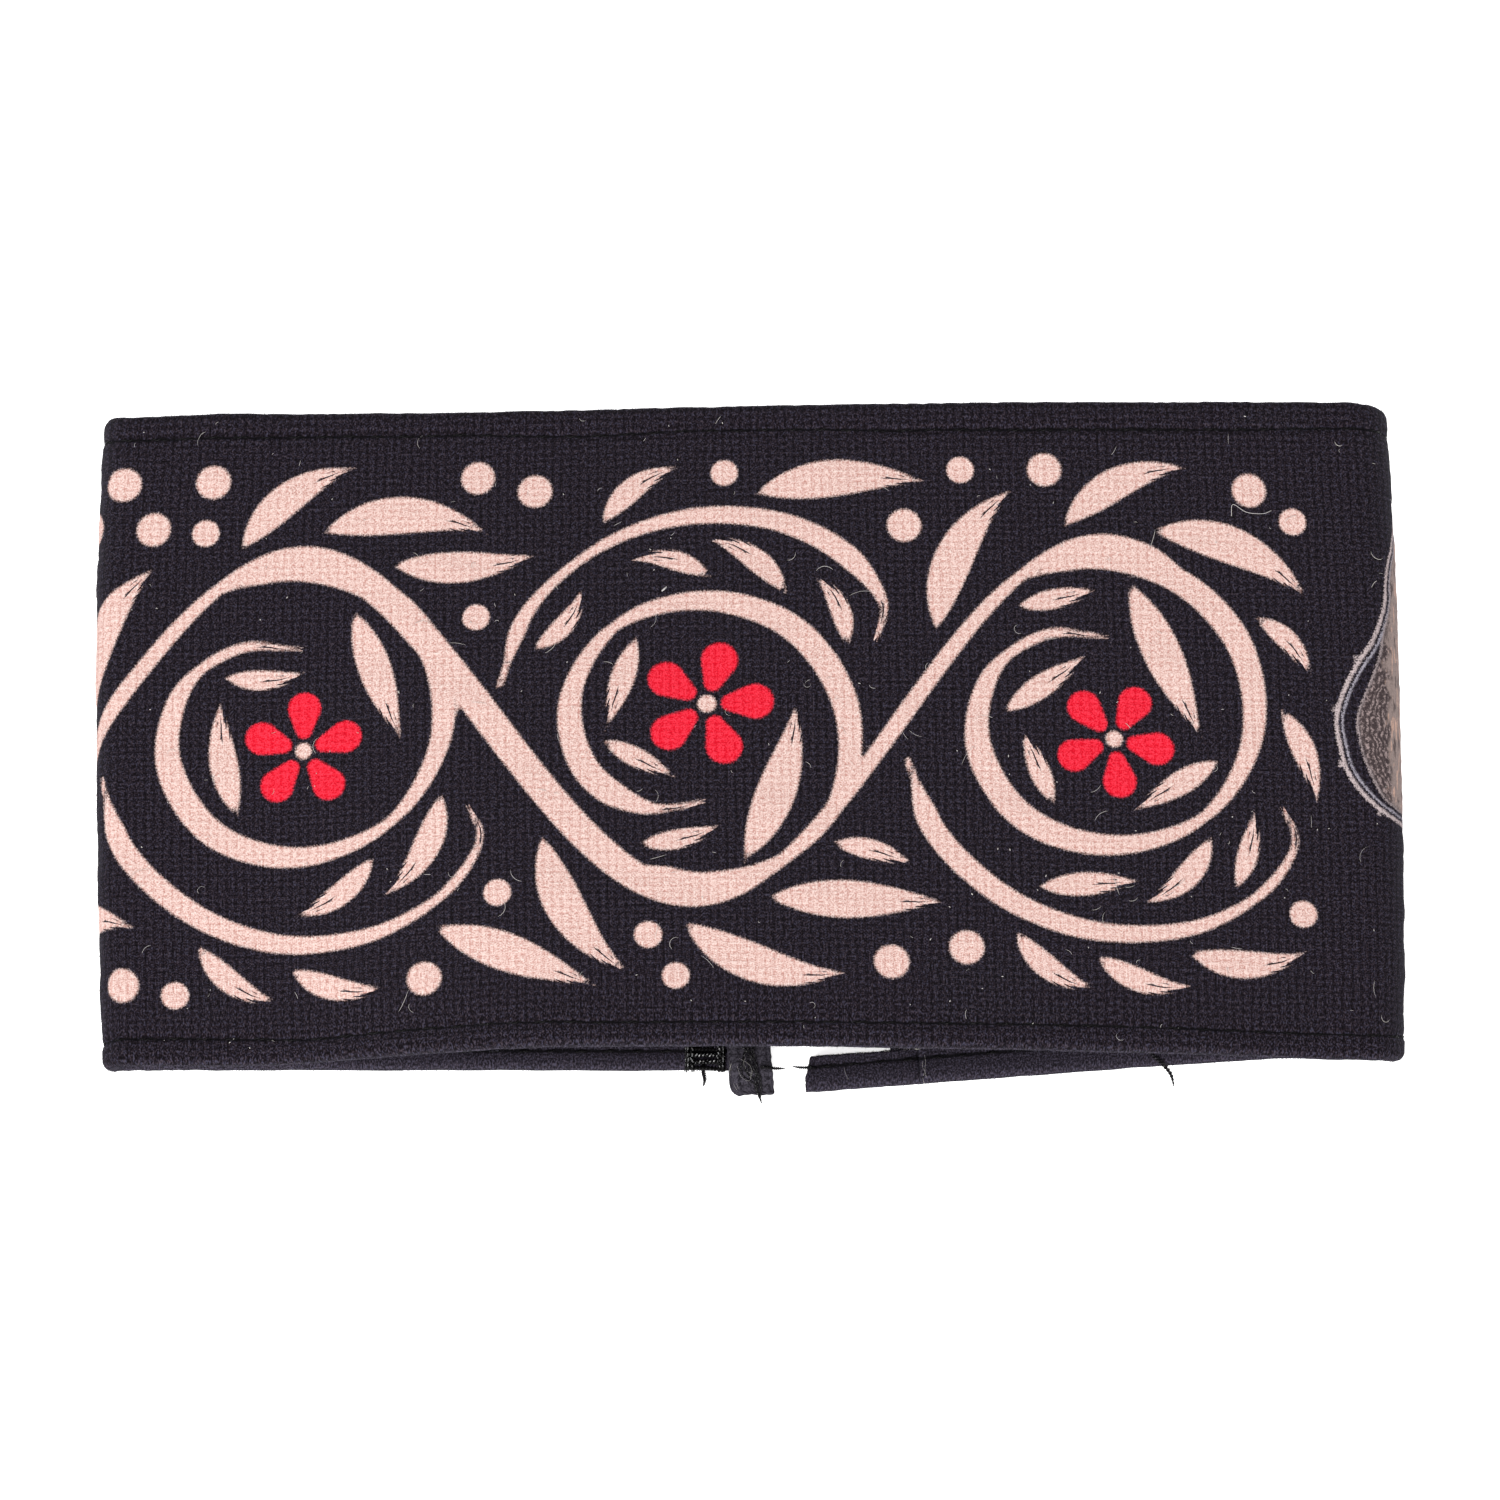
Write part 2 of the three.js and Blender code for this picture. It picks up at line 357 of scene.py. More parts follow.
LOW_ROUTE = edge_route("low")
TOP_ROUTE = edge_route("top")
LOW_AHEAD = directions(LOW_ROUTE)
TOP_AHEAD = directions(TOP_ROUTE)
MIDDLE_ROUTE = (LOW_ROUTE + TOP_ROUTE) / 2
ROUTE_LENGTHS = lengths_along(MIDDLE_ROUTE)
CLOTH_LENGTH = ROUTE_LENGTHS[-1]
LEFT_BACK_END = ROUTE_LENGTHS[BACK_SAMPLES]
RIGHT_BACK_START = ROUTE_LENGTHS[-BACK_SAMPLES]
front_part = slice(BACK_SAMPLES + FOLD_SAMPLES, -BACK_SAMPLES - FOLD_SAMPLES)
FRONT_START = ROUTE_LENGTHS[front_part.start]
FRONT_END = ROUTE_LENGTHS[front_part.stop]
FRONT_MIDDLE = np.interp(0, MIDDLE_ROUTE[front_part, 0], ROUTE_LENGTHS[front_part])
print("cloth runs", round(float(CLOTH_LENGTH), 1), "mm")
print("its front is", round(float(FRONT_END - FRONT_START), 1), "mm")


# %% Lay a flat place on the route
def along(places, s):
    return np.stack([np.interp(s, ROUTE_LENGTHS, places[:, k]) for k in range(3)], -1)


def wrap(s, v, depth):
    """Lays a flat place on the route.

    Its s runs along the cloth, its v up from the low edge and its depth in from the face. Both folds
    bow out at half height, and the left one a little more above it.
    """
    s, v, depth = np.broadcast_arrays(*(np.asarray(x, float) for x in (s, v, depth)))
    level = (v / CLOTH_HEIGHT)[..., None]
    low = along(LOW_ROUTE, s)
    top = along(TOP_ROUTE, s)
    ahead = blend_between(along(LOW_AHEAD, s), along(TOP_AHEAD, s), level)
    outward = np.cross(ahead, top - low)
    outward /= np.linalg.norm(outward, axis=-1)[..., None]
    point = blend_between(low, top, level)
    level = level[..., 0]
    bow = FOLD_BOW * 4 * level * (1 - level)
    bow += LEFT_BOW * 27 / 4 * level**2 * (1 - level) * (point[..., 0] < 0)
    point[..., 0] *= 1 + bow
    return point - outward * depth[..., None]


front_centre = wrap(FRONT_MIDDLE, CLOTH_HEIGHT / 2, 0)
print("the front's middle stands", round(float(front_centre[2]), 1), "mm above the table")

# %% [markdown]
# The printed design
# The print on this kind of band is laid on with dye before sewing. Here it is a common floral
# scroll in brush strokes. It could be painted as an image, but then its sharpness would end at the
# image's. Instead each stroke is a line with a width, and every point of the cloth is told how far
# inside a stroke it lies. The material then draws the edge, with the raggedness of dye on pile.
# The stems are given as a few points in one bay of the scroll that repeats. Leaves are
# tried along the stems, longest first, and a leaf stays only where it keeps clear of the rest.

# %% Sizes of the scroll, in millimetres of flat cloth
BAY = 57.0
FIRST_JUNCTION = -93.0
BAYS = 3
CREST = 26.0
WAVE_RIGHT = 70.0
NIB_ANGLE = math.radians(38)
PRINT_LEFT = -118.0
PRINT_RIGHT = 80.0
PRINT_HALF_HEIGHT = 40.0
STROKE_GAP = 2.1
THINNEST = 0.55
STEMS_IN_BAY = [
    {
        "points": [(-12, 20.9), (0, 24), (12, 20.5), (20, 11), (21, -2), (14, -13.5), (1.5, -18),
                   (-11, -14.5), (-17.5, -4), (-15.5, 7), (-7.5, 12.8), (1.5, 12.2)],
        "thin": 0.75, "broad": 2.0, "first_leaf": 14.0,
    },
    {
        "points": [(-27.5, -6), (-23.5, -17), (-14, -26), (-2, -30.5), (11, -30), (21, -25),
                   (26.5, -17.5), (25, -11.5)],
        "thin": 0.7, "broad": 1.7, "first_leaf": 6.0,
    },
]
FLOWER_PLACE = (1.5, -2.5)
print("stems in a bay:", len(STEMS_IN_BAY), "bays:", BAYS)


# %% Paths
def smooth_path(points, steps_per_span=30):
    """A smooth curve through points in the plane or in space."""
    count = (len(points) - 1) * steps_per_span + 1
    return np.stack([smooth_curve(column, count) for column in zip(*points)], 1)


def even_steps(path, step=0.5):
    """The same path with points at even steps, and the length up to each."""
    lengths = lengths_along(path)
    at = np.linspace(0, lengths[-1], max(int(lengths[-1] / step), 8))
    return np.stack([np.interp(at, lengths, column) for column in path.T], 1), at


def heading_of(path):
    ahead = np.gradient(path, axis=0)
    return np.arctan2(ahead[:, 1], ahead[:, 0])


def in_bay(bay, points):
    """Places in one bay of the scroll. Every other bay is upside down."""
    up = 1 if bay % 2 == 0 else -1
    middle = FIRST_JUNCTION + BAY * (bay + 0.5)
    return [(middle + x, up * y) for x, y in points]


# %% A record of the printed strokes
class Print:
    """All strokes so far, and on a flat grid how far inside or outside of them each place lies."""

    GRID_STEP = 0.75
    GRID_LEFT = -124.0
    GRID_RIGHT = 90.0
    GRID_HALF_HEIGHT = 46.0
    FAR = -9.0

    def __init__(self):
        xs = np.arange(self.GRID_LEFT, self.GRID_RIGHT, self.GRID_STEP)
        ys = np.arange(-self.GRID_HALF_HEIGHT, self.GRID_HALF_HEIGHT, self.GRID_STEP)
        self.shape = len(ys), len(xs)
        self.places = np.stack([axis.ravel() for axis in np.meshgrid(xs, ys)], 1)
        self.field = np.full(len(self.places), self.FAR)
        self.strokes = []

    def add(self, path, half_width, dye="beige", dry=False):
        self.strokes.append({"path": path, "half": half_width, "dye": dye, "dry": dry})
        near = ((self.places > path.min(0) + self.FAR) & (self.places < path.max(0) - self.FAR)).all(1)
        away = np.linalg.norm(self.places[near][:, None] - path[None, ::2], axis=2)
        self.field[near] = np.maximum(self.field[near], (half_width[::2] - away).max(1))

    def clear_distance(self, points):
        """How far each point lies from the nearest stroke."""
        field = self.field.reshape(self.shape)
        x = np.clip((points[:, 0] - self.GRID_LEFT) / self.GRID_STEP, 0, field.shape[1] - 1.01)
        y = np.clip((points[:, 1] + self.GRID_HALF_HEIGHT) / self.GRID_STEP, 0, field.shape[0] - 1.01)
        column, row = x.astype(int), y.astype(int)
        below, above = (blend_between(field[at, column], field[at, column + 1], x - column)
                        for at in (row, row + 1))
        return -blend_between(below, above, y - row)

    def fits(self, path, half_width, free_share=0.16):
        """True if a stroke keeps clear of the others, apart from the first share of its length."""
        inside_x = (path[:, 0] - half_width > PRINT_LEFT) & (path[:, 0] + half_width < PRINT_RIGHT)
        inside_y = np.abs(path[:, 1]) + half_width < PRINT_HALF_HEIGHT
        clear = self.clear_distance(path) > half_width + STROKE_GAP
        rooted = np.arange(len(path)) < free_share * len(path)
        return bool((inside_x & inside_y & (clear | rooted)).all())


design = Print()
print("places in the print's grid:", len(design.places))

# %% Draw the stems
design_seed = np.random.default_rng(11)
stems = []


def draw_stem(points, thin, broad, first_leaf, root_taper=(8, 0.35), tip_taper=(14, 0.25)):
    """A stem drawn with a flat brush held at one angle: broad across itself and thin along itself.

    A taper is the length that it takes and the share of the width that is left at the stem's end.
    """
    path, at = even_steps(points)
    from_root = np.clip(at / root_taper[0], root_taper[1], 1)
    from_tip = np.clip((at[-1] - at) / tip_taper[0], tip_taper[1], 1)
    half = thin + (broad - thin) * np.abs(np.sin(heading_of(path) - NIB_ANGLE))
    half = np.maximum(half * (from_root * from_tip), THINNEST)
    design.add(path, half, dry=True)
    stems.append({"path": path, "half": half, "at": at, "first_leaf": first_leaf})


wave_x = np.linspace(PRINT_LEFT, WAVE_RIGHT, 500)
wave = np.stack([wave_x, CREST * np.sin(np.pi * (wave_x - FIRST_JUNCTION) / BAY)], 1)
draw_stem(wave, thin=0.85, broad=2.2, first_leaf=6.0, root_taper=(10, 0.2), tip_taper=(18, 0.2))
for bay in range(BAYS):
    for stem in STEMS_IN_BAY:
        path = smooth_path(in_bay(bay, stem["points"]))
        draw_stem(path, stem["thin"], stem["broad"], stem["first_leaf"])
print("stems drawn:", len(stems))

# %% [markdown]
# Flowers, leaves and berries
# A flower is five petals round a small eye. A leaf is a brush stroke that swells and ends in a
# frayed tip, where the brush runs dry. Berries fill the places that are still wide open.

# %% Draw the flowers
FLOWER_DIAMETERS = (15.5, 17.0, 15.5)
FIRST_FLOWER_TURN = 0.3
PETALS = 5
PETAL_REACH = (0.19, 0.40)
PETAL_RADII = (0.07, 0.148)
EYE_RADIUS = 0.08
flowers = []


def draw_flower(centre, diameter, turn):
    """Petal sizes are shares of the flower's diameter."""
    flowers.append({"centre": centre, "diameter": diameter, "turn": turn})
    for petal in range(PETALS):
        angle = turn + 2 * np.pi * petal / PETALS
        reach = np.linspace(*PETAL_REACH, 10)[:, None] * diameter
        path = centre + reach * np.array([np.cos(angle), np.sin(angle)])
        design.add(path, diameter * np.linspace(*PETAL_RADII, 10), dye="red")
    design.add(centre + np.array([[0, 0], [0.1, 0]]), np.full(2, diameter * EYE_RADIUS), dye="red")


for bay, diameter in enumerate(FLOWER_DIAMETERS):
    draw_flower(in_bay(bay, [FLOWER_PLACE])[0], diameter, FIRST_FLOWER_TURN + bay)
print("flowers:", len(flowers))

# %% Grow leaves along the stems
LEAF_LENGTHS = (25, 21, 17.5, 14.5, 12)
LEAF_LEANS = (0.55, 0.75, 0.95, 0.4)
LEAF_CURLS = (-0.9, -0.5, 0.0, 0.4)
LEAF_SPACING = 10.5
LEAF_SPACING_VARIES = (0.9, 1.15)
LEAF_WIDTH = {"share": 0.2, "more": 0.6}
LEAF_THINNEST = 0.12


def leaf_stroke(root, heading, length, curl):
    """A leaf's middle line and its half width along it, widest a little nearer the root."""
    t = np.linspace(0, 1, 40)
    turn = heading + curl * t**1.3
    step = length / (len(t) - 1)
    path = root + np.cumsum(np.stack([np.cos(turn), np.sin(turn)], 1) * step, 0)
    widest = 0.5 * (LEAF_WIDTH["share"] * length + LEAF_WIDTH["more"])
    half = np.maximum(widest * np.sin(np.pi * t**0.8) ** 1.15, LEAF_THINNEST)
    return path, half


def best_leaf(stem, index, side):
    """The longest leaf that fits at one place and side of a stem, or None."""
    heading = heading_of(stem["path"])[index]
    normal = heading + side * np.pi / 2
    out = stem["half"][index] + 0.9 * STROKE_GAP
    root = stem["path"][index] + out * np.array([np.cos(normal), np.sin(normal)])
    for length in LEAF_LENGTHS:
        for lean in LEAF_LEANS:
            for curl in LEAF_CURLS:
                leaf = leaf_stroke(root, heading + side * lean, length, side * curl)
                if design.fits(*leaf):
                    return leaf
    return None


leaves = 0
for stem in stems:
    place = stem["first_leaf"]
    side = 1
    while place < stem["at"][-1]:
        index = int(np.searchsorted(stem["at"], place))
        for turned in (side, -side):
            leaf = best_leaf(stem, index, turned)
            if leaf:
                design.add(*leaf, dry=True)
                leaves += 1
        place += LEAF_SPACING * design_seed.uniform(*LEAF_SPACING_VARIES)
        side = -side
print("leaves:", leaves)

# %% Fill the open places with berries
BERRY_SIZES = (5.0, 4.0)
BERRY_ROOM = 2.9
berries = []

for size in BERRY_SIZES:
    half = size / 2
    for index in design_seed.permutation(len(design.places)):
        spot = design.places[index]
        open_enough = -design.field[index] > half + BERRY_ROOM
        inside = PRINT_LEFT + half < spot[0] < PRINT_RIGHT - half and abs(spot[1]) + half < PRINT_HALF_HEIGHT
        if open_enough and inside:
            design.add(np.array([spot, spot + (0.1, 0)]), np.full(2, half), dye="berry")
            berries.append({"centre": spot, "radius": half})
print("berries:", len(berries), "strokes in all:", len(design.strokes))

# %% [markdown]
# The medallion at the right fold
# An old ogee outline with a beaded border sits astride the right fold, so only half of it shows
# from the front. It is the same on both sides, so half its outline is drawn and mirrored.

# %% Medallion outline
MEDALLION_FROM_MIDDLE = 102.5
MEDALLION_HALF = [
    (0, 33.4), (8.0, 33.8), (12.6, 34.8), (16.0, 37.0), (18.9, 41.0), (20.0, 45.5), (20.2, 49.3),
    (18.9, 53.3), (17.0, 56.9), (14.5, 60.6), (12.5, 65.6), (11.4, 71.5), (8.7, 78), (4.8, 84), (0, 88),
]
BEADS_UP = [35.5, 42.4, 50.3, 57.5]
BEAD_RADIUS = 0.62


def signed_distance(points, outline):
    """How far inside a closed outline each point lies; outside is negative."""
    start, end = outline, np.roll(outline, -1, axis=0)
    best = np.full(len(points), np.inf)
    crossings = np.zeros(len(points), int)
    for (x0, y0), (dx, dy), y1 in zip(start, end - start, end[:, 1]):
        x, y = points[:, 0] - x0, points[:, 1] - y0
        t = np.clip((x * dx + y * dy) / (dx * dx + dy * dy), 0, 1)
        best = np.minimum(best, np.hypot(x - t * dx, y - t * dy))
        if y0 != y1:
            spans = (points[:, 1] >= min(y0, y1)) & (points[:, 1] < max(y0, y1))
            crossings += spans & (points[:, 0] < x0 + (points[:, 1] - y0) * dx / dy)
    return np.where(crossings % 2 == 1, best, -best)


half_outline = smooth_path(MEDALLION_HALF, 24)
medallion_outline = np.vstack([half_outline * (-1, 1), half_outline[::-1][1:-1]])
beads_out = np.interp(BEADS_UP, half_outline[:, 1], half_outline[:, 0])
bead_places = np.stack([np.append(-beads_out, beads_out), np.tile(BEADS_UP, 2)], 1)
print("medallion beads:", len(bead_places))

# %% [markdown]
# The cloth strip
# The real strip is cut with an allowance along both long edges, which is folded in and sewn down
# as a hem. A cloth simulation could press the folds, but the hems here are crisp and straight, so
# a flat grid is folded by formula: each row of the grid has a place across the strip and a depth.
# Rows lie close together at the fold and the stitches, and columns lie close on the printed part.
# Solidify then gives the sheet its thickness, with a second material on the reverse.

# %% Rows and columns of the strip
CLOTH_THICKNESS = 1.2
FACE_DEPTH = 0.65
TURNED_DEPTH = 1.95
HEM_WIDTH = 5.0
HEM_RADIUS = 1.3
HEM_INSETS = [5.0, 4.6, 4.3, 4.0, 3.7, 3.4, 3.1, 2.6, 2.1, 1.3]
FOLD_ROWS = 6
FINE_STEP = 0.88
COARSE_STEP = 2.7
SEAM_STEP = 0.3
TAIL_STEP = 0.9
SEAM_X = 24.1
SEAM_REACH = 1.2
SEAM_AT = float(np.interp(-SEAM_X, -LOW_ROUTE[-BACK_SAMPLES:, 0], ROUTE_LENGTHS[-BACK_SAMPLES:]))
FINE_FROM = FRONT_MIDDLE + PRINT_LEFT - 1
FINE_TO = FRONT_MIDDLE + MEDALLION_FROM_MIDDLE + 20
TAIL_START = CLOTH_LENGTH - TAIL_LENGTH


def steps_between(start, end, spacing):
    return np.linspace(start, end, max(1, round((end - start) / spacing)), endpoint=False)


def hem_rows():
    """Rows from the turned-in raw edge, round the fold and out over the face: inset, depth, flat place."""
    turned = [(inset, TURNED_DEPTH, HEM_RADIUS - math.pi * FACE_DEPTH - (inset - HEM_RADIUS))
              for inset in HEM_INSETS[:-1]]
    bend = []
    for k in range(FOLD_ROWS + 1):
        angle = math.pi * k / FOLD_ROWS
        inset = HEM_RADIUS - FACE_DEPTH * math.sin(angle)
        depth = HEM_RADIUS + FACE_DEPTH * math.cos(angle)
        bend.append((inset, depth, HEM_RADIUS - FACE_DEPTH * (math.pi - angle)))
    face = [(inset, FACE_DEPTH, inset) for inset in (*HEM_INSETS[-2:0:-1], TAIL_HEIGHT)]
    return turned + bend + face


cloth_columns = np.concatenate([
    steps_between(0, FINE_FROM, COARSE_STEP),
    steps_between(FINE_FROM, FINE_TO, FINE_STEP),
    steps_between(FINE_TO, SEAM_AT - SEAM_REACH, COARSE_STEP),
    steps_between(SEAM_AT - SEAM_REACH, SEAM_AT + SEAM_REACH, SEAM_STEP),
    steps_between(SEAM_AT + SEAM_REACH, TAIL_START, COARSE_STEP),
    steps_between(TAIL_START, CLOTH_LENGTH, TAIL_STEP),
    [CLOTH_LENGTH],
])
face_run = steps_between(TAIL_HEIGHT, CLOTH_HEIGHT - HEM_WIDTH, FINE_STEP)[1:]
top_rows = [(CLOTH_HEIGHT - inset, depth, CLOTH_HEIGHT - flat) for inset, depth, flat in hem_rows()[::-1]]
cloth_rows = np.array(hem_rows() + [(v, FACE_DEPTH, v) for v in face_run] + top_rows)
print("strip grid:", len(cloth_columns), "columns by", len(cloth_rows), "rows")


# %% Helpers for meshes made from a grid
def pick_only(piece):
    deselect_all()
    piece.select_set(True)
    bpy.context.view_layer.objects.active = piece


def read_points(mesh):
    points = np.empty(len(mesh.vertices) * 3)
    mesh.vertices.foreach_get("co", points)
    return points.reshape(-1, 3)


def grid_piece(name, columns, rows):
    """A flat grid primitive, with the column and the row of each of its points."""
    deselect_all()
    bpy.ops.mesh.primitive_grid_add(x_subdivisions=columns - 1, y_subdivisions=rows - 1, size=1)
    piece = bpy.context.object
    piece.name = name
    piece.data.name = name
    corners = read_points(piece.data)
    column = np.rint((corners[:, 0] + 0.5) * (columns - 1)).astype(int)
    row = np.rint((corners[:, 1] + 0.5) * (rows - 1)).astype(int)
    return piece, column, row


def shape_grid(mesh, points_mm, flat_places):
    """Moves the grid's points, and gives it a UV map in millimetres of flat cloth."""
    mesh.vertices.foreach_set("co", (points_mm * MM).ravel())
    mesh.update()
    for layer in list(mesh.uv_layers):
        mesh.uv_layers.remove(layer)
    layer = mesh.uv_layers.new(name="pattern")
    corner_points = np.empty(len(mesh.loops), int)
    mesh.loops.foreach_get("vertex_index", corner_points)
    layer.data.foreach_set("uv", flat_places[corner_points].astype(np.float32).ravel())


def write_attributes(mesh, **columns):
    """Numbers at the mesh's points, which a material reads by name."""
    for name, values in columns.items():
        attribute = mesh.attributes.new(name, "FLOAT", "POINT")
        attribute.data.foreach_set("value", np.asarray(values, np.float32))


def thicken(piece, thickness_mm, **settings):
    pick_only(piece)
    modifier = piece.modifiers.new("Solidify", "SOLIDIFY")
    modifier.thickness = thickness_mm * MM
    modifier.offset = 0
    for name, value in settings.items():
        setattr(modifier, name, value)
    bpy.ops.object.modifier_apply(modifier=modifier.name)


def finish_piece(piece, slot, *materials):
    """Smooth faces, a finish and the body that the piece moves with. The slot is not used."""
    for material in materials:
        piece.data.materials.append(material)
    piece.data.polygons.foreach_set("use_smooth", [True] * len(piece.data.polygons))
    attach(piece, MAIN_BODY)
    print(piece.name, "has", sum(len(p.vertices) - 2 for p in piece.data.polygons), "triangles")


# %% [markdown]
# Small unevenness
# Pressed cloth is never quite true. Slow waves run through it, the thread pulls a small dimple at
# every stitch, the doubled hem stands a little proud, and the hem's edge is knobbly from the ribs
# of the weave. All of it is added as a change of depth or height before the cloth is laid round.

# %% Unevenness of the cloth
STITCH_PITCH = 4.0
STITCH_INSETS = {
    "low": [(-100, 2.6), (-97, 3.7), (-89, 3.7), (-79, 3.8), (-69, 3.55), (-63, 3.2), (-50, 3.4), (-36, 3.5),
            (-21, 3.25), (-8, 3.25), (36, 3.45), (50, 3.55), (64, 3.4), (90, 3.4), (100, 3.7), (127, 3.75)],
    "top": [(-100, 3.7), (-91, 3.8), (-40, 3.8), (-28, 4.3), (-19, 4.35), (-9, 3.95), (10, 4.05), (20, 4.4),
            (70, 4.5), (80, 4.2), (92, 4.1), (110, 3.7)],
}
TAIL_STITCH_INSET = 3.4
THREAD_GROOVE = {"depth": 0.2, "more_at_knots": 0.16, "reach": 0.45}
PUFFED_HEM = {"height": 0.16, "inside": 1.9, "reach": 1.2}
KNOT_DIMPLE = {"depth": 0.05, "reach": 2.2}
SWELLS = [{"height": 0.22, "seed": 3, "longest": 60.0}, {"height": 0.1, "seed": 4, "longest": 22.0}]
BACK_RISE = 0.36
RISE_EASES = {"on_back": 6, "on_fold": 4}
KNOB_SPACING = 0.9
KNOB_HEIGHT = 0.13
KNOB_SEED = 5


def slow_waves(s, v, seed, longest, count=7):
    """A smooth uneven height between about -1 and 1, made of a few sine waves."""
    draw = np.random.default_rng(seed)
    total = np.zeros(np.broadcast(s, v).shape)
    for k in range(count):
        length = longest / (1 + k)
        angle = draw.uniform(0, math.pi)
        phase = draw.uniform(0, 2 * math.pi)
        total += np.sin(2 * math.pi * (s * math.cos(angle) + v * math.sin(angle)) / length + phase)
    return total / count


def edge_knobs(s):
    """The knobbly line of a folded edge, in millimetres."""
    draw = np.random.default_rng(KNOB_SEED)
    ribs = np.arange(-2, CLOTH_LENGTH + 2, KNOB_SPACING)
    return np.interp(s, ribs, draw.uniform(-KNOB_HEIGHT, KNOB_HEIGHT, len(ribs)))


def stitch_inset(s, edge):
    """The stitches' distance from a long edge, which wanders along the band as a sewn line does."""
    places, insets = np.array(STITCH_INSETS[edge]).T
    end = TAIL_STITCH_INSET if edge == "low" else insets[-1]
    return np.interp(s, [*(places + FRONT_MIDDLE), CLOTH_LENGTH], [*insets, end])


def stitch_pull(s, v):
    """How far the thread pulls the cloth in, as a depth in millimetres."""
    pull = np.zeros(np.broadcast(s, v).shape)
    knot = 0.5 + 0.5 * np.cos(2 * np.pi * s / STITCH_PITCH)
    for edge, inset in (("low", v), ("top", CLOTH_HEIGHT - v)):
        off = inset - stitch_inset(s, edge)
        groove = THREAD_GROOVE["depth"] + THREAD_GROOVE["more_at_knots"] * knot
        pull += groove * bell(off, THREAD_GROOVE["reach"])
        pull -= PUFFED_HEM["height"] * bell(off + PUFFED_HEM["inside"], PUFFED_HEM["reach"])
        pull += KNOT_DIMPLE["depth"] * knot * bell(off, KNOT_DIMPLE["reach"])
    return pull


def cloth_swell(s, v):
    """How far the face stands out. On the back it only gives way inward, off the table."""
    eased_left = [LEFT_BACK_END - RISE_EASES["on_back"], LEFT_BACK_END + RISE_EASES["on_fold"]]
    eased_right = [RIGHT_BACK_START - RISE_EASES["on_fold"], RIGHT_BACK_START + RISE_EASES["on_back"]]
    on_back = np.interp(s, eased_left + eased_right, [1, 0, 0, 1])
    waves = sum(row["height"] * slow_waves(s, v, row["seed"], row["longest"]) for row in SWELLS)
    return waves - BACK_RISE * on_back


def face_surface(s, v):
    """Depth of the strip's outer surface."""
    return FACE_DEPTH - CLOTH_THICKNESS / 2 + stitch_pull(s, v) - cloth_swell(s, v)


def hem_surface(s, v):
    """Depth of the turned-in hem's inner surface."""
    return TURNED_DEPTH + CLOTH_THICKNESS / 2 - 0.5 * stitch_pull(s, v) - cloth_swell(s, v)


# %% Fold, uneven and lay the strip
RIB_UNEVENNESS = 0.055
KNOBS_REACH = 1.2
KNOBS_ON_TOP = 1.1
SEAM_RIDGE = {"height": 0.55, "reach": 0.5}
SEAM_GROOVE = {"depth": 0.25, "before": 0.85, "reach": 0.45}
RAW_END_REACH = 0.9
RAW_END_CUT = [(0.65, -0.3), (1.0, 0.05), (1.3, 0.2), (2.1, 0.04), (2.9, 0.42),
               (3.5, 0.58), (3.85, 0.76), (4.5, 0.82), (5.1, 1.02)]
cloth_seed = np.random.default_rng(8)

cloth, cloth_column, cloth_row = grid_piece("printed_cloth_strip", len(cloth_columns), len(cloth_rows))
strip_s = cloth_columns[cloth_column]
strip_v, strip_depth, strip_flat = cloth_rows[cloth_row].T.copy()
on_face = strip_depth < HEM_RADIUS
on_low_hem = strip_v < HEM_WIDTH
off_stitches = np.where(strip_v < CLOTH_HEIGHT / 2, strip_v - stitch_inset(strip_s, "low"),
                        CLOTH_HEIGHT - strip_v - stitch_inset(strip_s, "top"))
strip_depth += np.where(on_face, 1, -0.5) * stitch_pull(strip_s, strip_v)
strip_depth -= cloth_swell(strip_s, strip_v)
strip_depth += cloth_seed.uniform(-RIB_UNEVENNESS, RIB_UNEVENNESS, len(strip_depth)) * (strip_v > HEM_RADIUS)
seam_line = ~on_face * bell(strip_s - SEAM_AT, SEAM_RIDGE["reach"])
beside_seam = ~on_face * bell(strip_s - SEAM_AT + SEAM_GROOVE["before"], SEAM_GROOVE["reach"])
strip_depth += SEAM_GROOVE["depth"] * beside_seam - SEAM_RIDGE["height"] * seam_line

raw_end = np.exp(-(CLOTH_LENGTH - strip_s) / RAW_END_REACH) * (strip_s > TAIL_START)
raw_cut = np.interp(strip_v, *np.array(RAW_END_CUT).T)
near_fold = np.exp(-np.minimum(strip_v, CLOTH_HEIGHT - strip_v) / KNOBS_REACH)
strip_v += np.where(on_low_hem, 1, -KNOBS_ON_TOP) * near_fold * edge_knobs(strip_s)
strip_points = wrap(strip_s - raw_end * raw_cut, strip_v, strip_depth)
strip_points[:, 2] = np.maximum(strip_points[:, 2], CLOTH_THICKNESS / 2)
flat = np.stack([strip_s - FRONT_MIDDLE, strip_flat], 1)
shape_grid(cloth.data, strip_points, flat)
write_attributes(cloth.data, off_stitches=off_stitches, seam=seam_line, turned_in=~on_face)
print("points on the strip:", len(strip_points))

# %% [markdown]
# Dye on the cloth
# Each point of the strip now gets its numbers: how far inside a beige or a red stroke it lies, how
# far across that stroke, and how far past its end. The material reads them by name.

# %% Distances for the dye
DYE_FAR = -6.0
DYE_REACH = 3.0
NOT_DRY = -9.0
FRONT_HALF_WIDTH = 93


